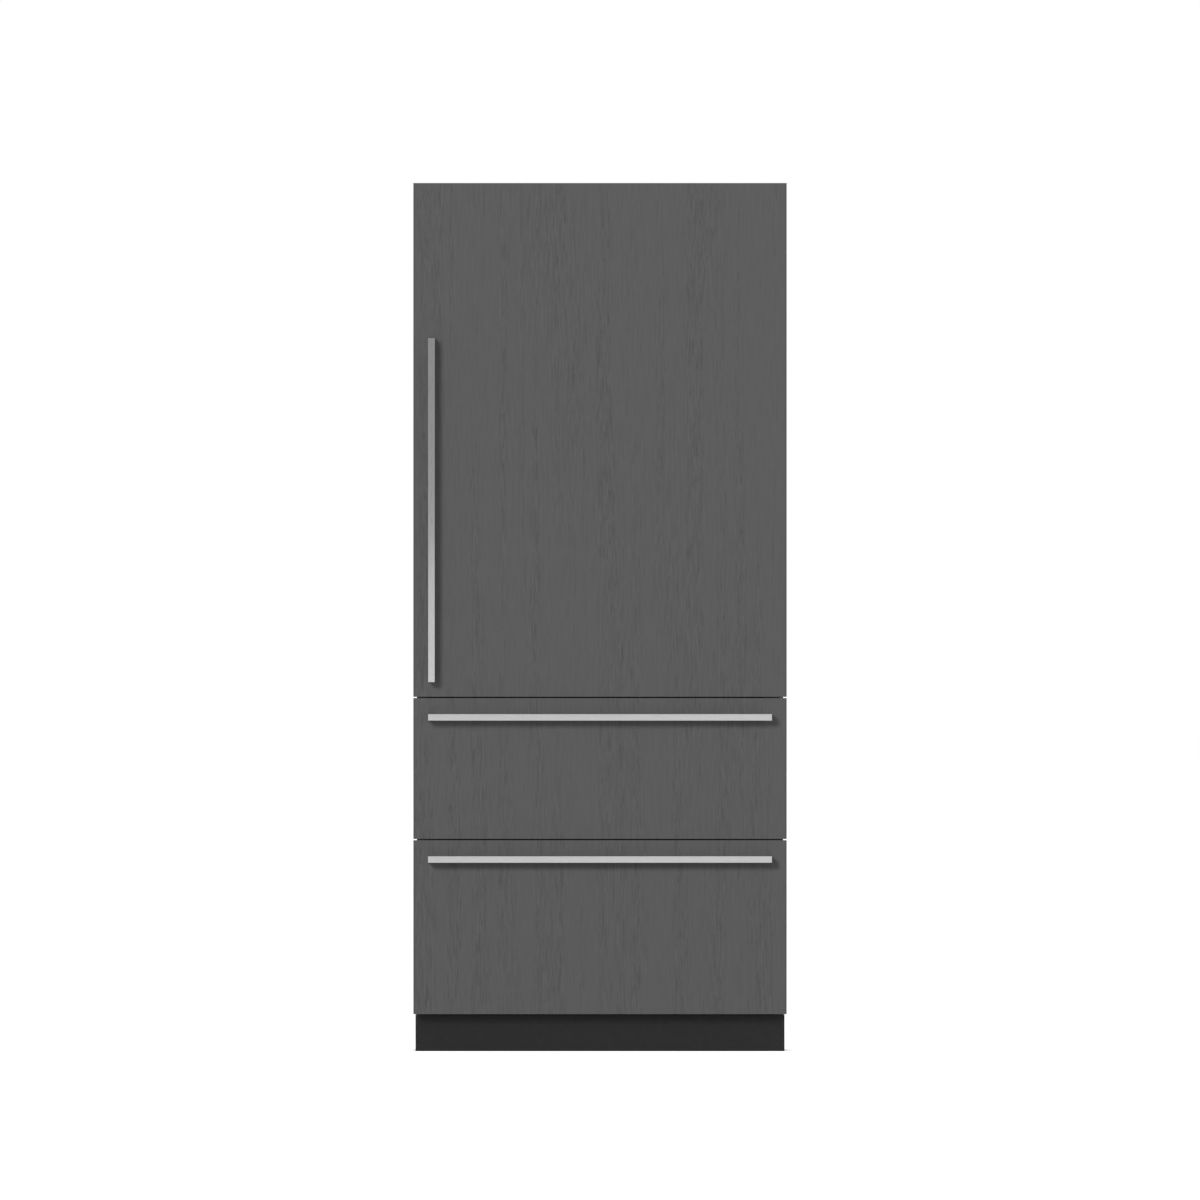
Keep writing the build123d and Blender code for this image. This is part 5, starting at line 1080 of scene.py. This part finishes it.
potLook = {"x": 0.255, "y": 0.2315, "base": 0.064, "radius": 0.078, "height": 0.168, "dome": 0.034,
           "plate": (0.1, 0.06), "plateCorner": 0.014, "rib": (0.004, 0.03), "ribCorner": 0.0039,
           "ribAcross": 0.085, "ribHeight": 0.003, "feet": (0.084, 0.044), "footDrop": 0.017,
           "boltEdge": 0.0003, "box": (0.025, 0.025), "boxRise": 0.056, "boxCorner": 0.006}
potBelly = ((0.2, 0), (0.62, 0), (0.78, 2.5), (0.9, 8), (0.965, 16), (0.985, 26))
potWeld = ((-1.17, 92), (0.51, 92.8), (0.56, 94.5), (0.56, 96.8), (-0.78, 98.5))
plateRows = ((0.6, -3), (0, -2.4), (0, -0.6), (0.6, 0))
grommetSection = ((8, 0), (12.6, 0.4), (13, 1.4), (13, 5.2), (10.6, 6.6), (10.6, 9.2), (12.8, 10.4),
                  (12.8, 13.6), (11, 14), (9, 16.8), (8.8, 19.6), (7.5, 20.4))
potBolt = ((6.2, 19.8), (6.2, 21.2), (4.2, 21.2), (4.2, 24.6), (3.6, 25.2))
boxRows = ((0, 70), (0, 88), (1.2, 88.6), (1.2, 89.8), (0, 90.4), (0.2, 93.5), (2.2, 94.7))
potX, potY, potBase = potLook["x"], potLook["y"], potLook["base"]
radius, height, dome = potLook["radius"], potLook["height"], potLook["dome"]
shape = bmesh.new()
profile = shares(potBelly, radius) + fromMm(potWeld, radius)
for a in map(math.radians, range(0, 86, 8)):
    profile.append((radius * math.cos(a), height - dome + dome * math.sin(a)))
addLathe(shape, profile + [(radius * 0.02, height)], (potX, potY, potBase), sides=56)
addPlate(shape, *around((potX, potY), potLook["plate"]), potLook["plateCorner"],
         fromMm(plateRows, 0, potBase), "XY", 7)
for side in (-1, 1):
    addPlate(shape, *around((potX + side * potLook["ribAcross"], potY), potLook["rib"]), potLook["ribCorner"],
             ((0, potBase), (0, potBase + potLook["ribHeight"])), "XY")
dressNode("compressor", shape, sharp=40)
grommets, bolts, shape = bmesh.new(), bmesh.new(), bmesh.new()
footX, footY = potLook["feet"]
for x in (potX - footX, potX + footX):
    for y in (potY - footY, potY + footY):
        foot = (x, y, potBase - potLook["footDrop"])
        addLathe(grommets, fromMm(grommetSection), foot)
        addLathe(bolts, fromMm(potBolt), foot, sides=6)
makePiece("compressor-grommets", "cabinet", "gasket_rubber", grommets)
makePiece("compressor-bolts", "cabinet", "hinge_steel", bolts, bevel=potLook["boltEdge"])
addPlate(shape, *around((potX, potBase + potLook["boxRise"]), potLook["box"]), potLook["boxCorner"],
         fromMm(boxRows, 0, potY), steps=6)
makePiece("compressor-terminal-cover", "cabinet", "dark_plastic", shape, sharp=40)
print("stage: compressor")


# Refrigerant lines on eased bends, with brazed sleeves and the drier

lineLook = {"radius": 0.0034, "bend": 0.02, "tightBend": 0.016, "stub": 0.026, "into": 0.006,
            "level": 0.26175, "ceiling": 0.299, "coilTop": 0.2245, "liquidX": -0.105, "liquidY": 0.1865,
            "drierZ": 0.14, "sleeve": 0.0048, "potSleeveIn": 0.003, "coilSleeveIn": 0.002,
            "endSleeveIn": 0.0005}
drierSection = ((3.6, 0), (4.2, 4), (8, 9), (10, 13.5), (10, 75.5), (9.4, 77), (8, 81), (4.2, 86), (3.6, 90))
look, coilX, coilZ = lineLook, condenserLook["x"], condenserLook["z"]
coilEnd = coilX - condenserLook["half"]
potTop, liquidY = potBase + height, look["liquidY"]
sleeveZ = potTop - look["potSleeveIn"]
hot, cold = potX - look["stub"], potX + look["stub"]
routes = ((look["bend"], ((hot, potY, potTop - look["into"]), (hot, potY, look["level"]),
                          (coilX, potY, look["level"]), (coilX, potY, look["coilTop"]))),
          (look["bend"], ((cold, potY, potTop - look["into"]), (cold, potY, look["ceiling"]))),
          (look["tightBend"], ((coilEnd, liquidY, coilZ), (look["liquidX"], liquidY, coilZ),
                               (look["liquidX"], liquidY, look["ceiling"]))))
# Each sleeve has a place, a direction and a length in millimetres
sleeves = (((hot, potY, sleeveZ), upward, 8), ((cold, potY, sleeveZ), upward, 8),
           ((coilX, potY, look["coilTop"] - look["coilSleeveIn"]), upward, 6),
           ((coilEnd - look["endSleeveIn"], liquidY, coilZ), (-1, 0, 0), 6))
shape = bmesh.new()
for bend, points in routes:
    addTube(shape, bentRoute(points, bend), look["radius"])
for place, axis, long in sleeves:
    addLathe(shape, shares(((1, 0), (1, long), (0.76, long + 1.2)), look["sleeve"]), place, axis, 16)
addLathe(shape, fromMm(drierSection), (look["liquidX"], liquidY, look["drierZ"]))
dressNode("refrigerant_lines", shape, sharp=40)
print("stage: refrigerant lines")


# Levelling legs: rubber-edged pad, rolled thread and jam nut

legLook = {"pad": 0.022, "stud": 0.006, "studBase": 0.008, "length": 0.062, "pitch": 0.002,
           "plain": 0.004, "firstTurn": 0.003, "nutZ": 0.038, "nutHeight": 0.007, "nutFlat": 0.0095,
           "x": 0.39}
padSection = ((0.8, 0), (0.97, 0.8), (0.99, 2.4), (0.97, 4.2), (0.9, 5.2), (0.6, 5.6))
studFoot, studNeck = ((0.86, 5), (0.86, 6.6), (0.7, 7.4)), ((1.5, 0), (1.4, 2), (0.86, 2.4))
studTip, nutEnd = ((0.84, -0.4), (0.7, 0)), ((0.86, 0), (0.999, 1.2))
threadTurn = ((0.86, 0), (0.99, 0.42), (0.99, 0.58))  # in shares of the radius and of the pitch
pad, stud, studBase = legLook["pad"], legLook["stud"], legLook["studBase"]
pitch, length = legLook["pitch"], legLook["length"]
thread = shares(studFoot, pad) + shares(studNeck, stud, studBase)
for k in range(int((length - legLook["plain"]) / pitch)):
    z = studBase + legLook["firstTurn"] + k * pitch
    thread += [(stud * u, z + pitch * v) for u, v in threadTurn]
thread += shares(studTip, stud, studBase + length)
nut = shares(nutEnd, legLook["nutFlat"] / math.cos(math.pi / 6))
nut += [(r, legLook["nutHeight"] - z) for r, z in reversed(nut)]
legLow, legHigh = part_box("levelling_legs")
studs, pads = bmesh.new(), bmesh.new()
for x in (-legLook["x"], legLook["x"]):
    for y in (legLow.y + pad, legHigh.y - pad):
        addLathe(pads, shares(padSection, pad), (x, y, 0), sides=40)
        addLathe(studs, thread, (x, y, 0), sides=20)
        addLathe(studs, nut, (x, y, legLook["nutZ"]), sides=6)
dressNode("levelling_legs", studs, sharp=30)
makePiece("levelling-leg-pads", "cabinet", "gasket_rubber", pads)
print("stage: legs")


# Hinge brackets: rounded arm, pin with a flanged head, and bolts

hingeLook = {"x": 0.433, "y": -0.252, "pin": 0.006, "corner": 0.011, "thick": 0.005, "ease": 0.0005,
             "lowBack": -0.2145, "lowRise": 0.0043, "lowFlange": 0.014, "topPin": 0.035, "lowPin": 0.0357,
             "edge": 0.0003,
             "bolts": ((0.41, -0.203), (0.432, -0.203), (0.41, -0.172), (0.432, -0.172)),
             "screws": (0.4035, 0.4145), "screwDrop": 0.0038, "screw": 0.0028, "screwProud": 0.0009}
headSection = ((1.35, 0), (1.35, 1.2), (1.1, 1.9), (0.4, 2.1))
washerSection, boltSection = ((7.4, 0), (7.4, 0.8), (7.2, 1)), ((5.2, 0.8), (5.8, 1.4), (5.8, 3.8), (5, 4.6))
low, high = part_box("hinge_brackets")
pin, thick = hingeLook["pin"], hingeLook["thick"]


def addHingePlate(shape, z, back):
    corner, ease = hingeLook["corner"], hingeLook["ease"]
    outline = [(high.x, back), *arc((high.x - corner, low.y + corner), corner, 0, -90, 6),
               *arc((low.x + corner, low.y + corner), corner, -90, -180, 6), (low.x, back)]
    midX, midY = (low.x + high.x) / 2, (low.y + back) / 2
    rows = ((ease, z), (0, z + ease), (0, z + thick - ease), (ease, z + thick))
    addLoops(shape, [[(x - math.copysign(inset, x - midX), y - math.copysign(inset, y - midY), level)
                      for x, y in outline] for inset, level in rows])


lowZ, backY = low.z + hingeLook["lowRise"], hingeLook["lowBack"]
shape = bmesh.new()
addHingePlate(shape, high.z - thick, high.y)
addHingePlate(shape, lowZ, backY)
addBox(shape, (low.x, backY - thick, low.z), (high.x, backY, low.z + hingeLook["lowFlange"]))
for start, reach, way in ((high.z, hingeLook["topPin"], -1), (lowZ, hingeLook["lowPin"], 1)):
    profile = shares(((0.8, 0), (1, 0.6)), pin) + shares(((1, -1.6), (0.72, 0)), pin, reach)
    addLathe(shape, profile, (hingeLook["x"], hingeLook["y"], start), (0, 0, way), 32)
# The brackets are painted near black, a painted shade where the lower one shows through the seam under the
# door
dressNode("hinge_brackets", shape, finishes["dark_steel_and_seam_shade"], bevel=hingeLook["edge"])
shape = bmesh.new()
addLathe(shape, shares(headSection, pin), (hingeLook["x"], hingeLook["y"], high.z), sides=32)
for x, y in hingeLook["bolts"]:
    addLathe(shape, fromMm(washerSection), (x, y, high.z))
    addLathe(shape, fromMm(boltSection), (x, y, high.z), sides=6)
screwZ = low.z + hingeLook["lowFlange"] - hingeLook["screwDrop"]
addScrews(shape, [(x, backY - thick, screwZ) for x in hingeLook["screws"]], (0, -1, 0), hingeLook["screw"],
          hingeLook["screwProud"])
makePiece("hinge-bolts", "cabinet", "hinge_steel", shape, sharp=30)
print("stage: hinges")


# Back: thin sheet with soft pressed beads, and the machine cover with a slanted vane in each slot

backLook = {"beads": (0.539, 0.983, 1.428, 1.872), "half": 0.34, "height": 0.0138, "depth": 0.0034,
            "sheet": 0.0005, "recess": 0.0004, "blend": 0.018, "joint": 0.0014, "screw": 0.0046,
            "screwProud": 0.00036, "screwIn": 0.01, "rowX": 0.218, "sideX": 0.436,
            "sideZ": (0.06, 0.76, 1.21, 1.65)}
low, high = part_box("back_panel")
skinY = high.y - backLook["recess"]


def backSection(x, share):
    # The sheet's section at one place across, with the beads at part of their full depth
    outside = [(skinY, low.z + backLook["joint"])]
    for z in backLook["beads"]:
        for t in (k / 8 for k in range(9)):
            push = backLook["depth"] * share * math.sin(math.pi * t) ** 0.5
            outside.append((skinY - push, z + (t - 0.5) * backLook["height"]))
    outside.append((skinY, high.z))
    inside = [(y - backLook["sheet"], z) for y, z in reversed(outside)]
    return [(x, y, z) for y, z in outside + inside]


beadEnd = -backLook["half"]
stations = [(-high.x, 0), (beadEnd, 0)]
stations += [(beadEnd + backLook["blend"] * t, math.sin(math.pi / 2 * t)) for t in (0.2, 0.4, 0.6, 0.8, 1.0)]
stations += [(-x, share) for x, share in reversed(stations)]
shape = bmesh.new()
addLoops(shape, [backSection(x, share) for x, share in stations])
dressNode("back_panel", shape, sharp=50)

ventLook = {"edge": 0.0002, "setback": 0.0012, "columns": 4, "rows": 5, "across": 0.15, "up": 0.034,
            "middle": 0.173, "half": 0.055}
ventSection = ((0, -2.6), (-9, 3.6), (-9, 4.6), (0, -1.6))
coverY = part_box("machine_cover")[1].y
softenNode("machine_cover", ventLook["edge"], farthest=coverY - backLook["recess"])
vanes, screws = bmesh.new(), bmesh.new()
for column in range(ventLook["columns"]):
    for row in range(ventLook["rows"]):
        x = (column - (ventLook["columns"] - 1) / 2) * ventLook["across"]
        z = ventLook["middle"] + (row - (ventLook["rows"] - 1) / 2) * ventLook["up"]
        addBar(vanes, ventSection, x, coverY - ventLook["setback"], z, ventLook["half"])
makePiece("cover-vanes", "cabinet", recordSlots["machine_cover"], vanes)
rowX, sideX, screwIn = backLook["rowX"], backLook["sideX"], backLook["screwIn"]
rows = (high.z - screwIn, low.z + screwIn, low.z - screwIn)
places = [(x, z) for x in (-sideX, -rowX, 0, rowX, sideX) for z in rows]
places += [(x, z) for x in (-sideX, sideX) for z in backLook["sideZ"]]
addScrews(screws, [(x, skinY, z) for x, z in places], (0, 1, 0), backLook["screw"], backLook["screwProud"])
makePiece("back-screws", "cabinet", "hinge_steel", screws, finish=finishes["dark_steel_and_seam_shade"])
print("stage: back")


# Studio: a pale floor, a white surround and two soft lamps

studio = {"floor": 200.0, "surround": 0.314, "floorGlow": 0.72, "key": 6090.0, "keySize": 8.2,
          "keyPlace": (-10.55, -30.9, 10.3), "keyAim": (0, 0, 1.1), "fill": 90.0, "fillSize": 6.0,
          "fillPlace": (7.0, -11.0, 2.2), "fillAim": (0, 0, 1.0)}


def seenDirectly(tree):
    # One for rays from the camera and from metal and glass, zero for the rays that only light
    rays = node(tree, "LightPath")
    seen = rays.outputs["Is Camera Ray"]
    for ray in ("Is Glossy Ray", "Is Transmission Ray"):
        seen = mathNode(tree, "MAXIMUM", seen, rays.outputs[ray])
    return seen


world = bpy.data.worlds.new("surround")
world.use_nodes = True
scene.world = world
tree = world.node_tree
ambient = tree.nodes["Background"]
ambient.inputs["Color"].default_value = (1, 1, 1, 1)
link(tree, spread(tree, seenDirectly(tree), 0, 1, studio["surround"], 1.0), ambient.inputs["Strength"])


def addLamp(name, role):
    lamp = bpy.data.objects.new(name, bpy.data.lights.new(name, "AREA"))
    lamp.data.energy = studio[role]
    lamp.data.shape = "DISK"
    lamp.data.size = studio[role + "Size"]
    lamp.location = studio[role + "Place"]
    aim = Vector(studio[role + "Aim"]) - lamp.location
    lamp.rotation_euler = aim.to_track_quat("-Z", "Y").to_euler()
    lamp.visible_glossy = False
    scene.collection.objects.link(lamp)


addLamp("keyLamp", "key")
addLamp("fillLamp", "fill")


def addSheet(name, corners, paint):
    # A flat sheet of the studio, which isn't part of the object
    mesh = bpy.data.meshes.new(name)
    mesh.from_pydata(corners, [], [(0, 1, 2, 3)])
    mesh.materials.append(paint)
    made = bpy.data.objects.new(name, mesh)
    scene.collection.objects.link(made)
    made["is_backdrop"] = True
    return made


# A grey card above the camera's line, which only gloss picks up: it shades the upper half of the upright bar
cardLook = {"tone": 0.42, "low": (-1.05, 1.125), "high": (0.2, 3.2), "ahead": 1.5}
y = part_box("door_handle")[0].y - cardLook["ahead"]
(left, bottom), (right, top) = cardLook["low"], cardLook["high"]
cardPaint = startFinish("cardPaint", Base_Color=(0, 0, 0, 1), Roughness=1.0, Specular_IOR_Level=0.0,
                        Emission_Color=(1, 1, 1, 1), Emission_Strength=cardLook["tone"])[0]
card = addSheet("toneCard", [(left, y, bottom), (left, y, top), (right, y, top), (right, y, bottom)],
                cardPaint)
for ray in ("camera", "diffuse", "transmission", "volume_scatter", "shadow"):
    setattr(card, "visible_" + ray, False)

# The floor's glow stops under the object, where its own shadow lies; its fade across the object's outline is
# a painted shade along the object's foot
glowEdge = (-0.02, 0.01)
floorPaint, tree, shader = startFinish("floorPaint", Base_Color=(0.95, 0.95, 0.95, 1), Roughness=0.9,
                                       Specular_IOR_Level=0.1, Emission_Color=(1, 1, 1, 1))
front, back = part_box("kickplate")[0].y, cadBounds[1].y
outside = 0.0
for axis, middle, reach in (("X", 0.0, cadBounds[1].x), ("Y", (front + back) / 2, (back - front) / 2)):
    away = mathNode(tree, "ABSOLUTE", mathNode(tree, "SUBTRACT", placeAlong(tree, axis), middle))
    edge = spread(tree, away, reach + glowEdge[0], reach + glowEdge[1], 0, 1)
    outside = mathNode(tree, "MAXIMUM", outside, edge)
glow = spread(tree, seenDirectly(tree), 0, 1, 0, studio["floorGlow"])
link(tree, mathNode(tree, "MULTIPLY", glow, outside), shader.inputs["Emission Strength"])
half = studio["floor"]
addSheet("floor", [(-half, -half, 0), (half, -half, 0), (half, half, 0), (-half, half, 0)], floorPaint)
print("stage: studio")

low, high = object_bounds()
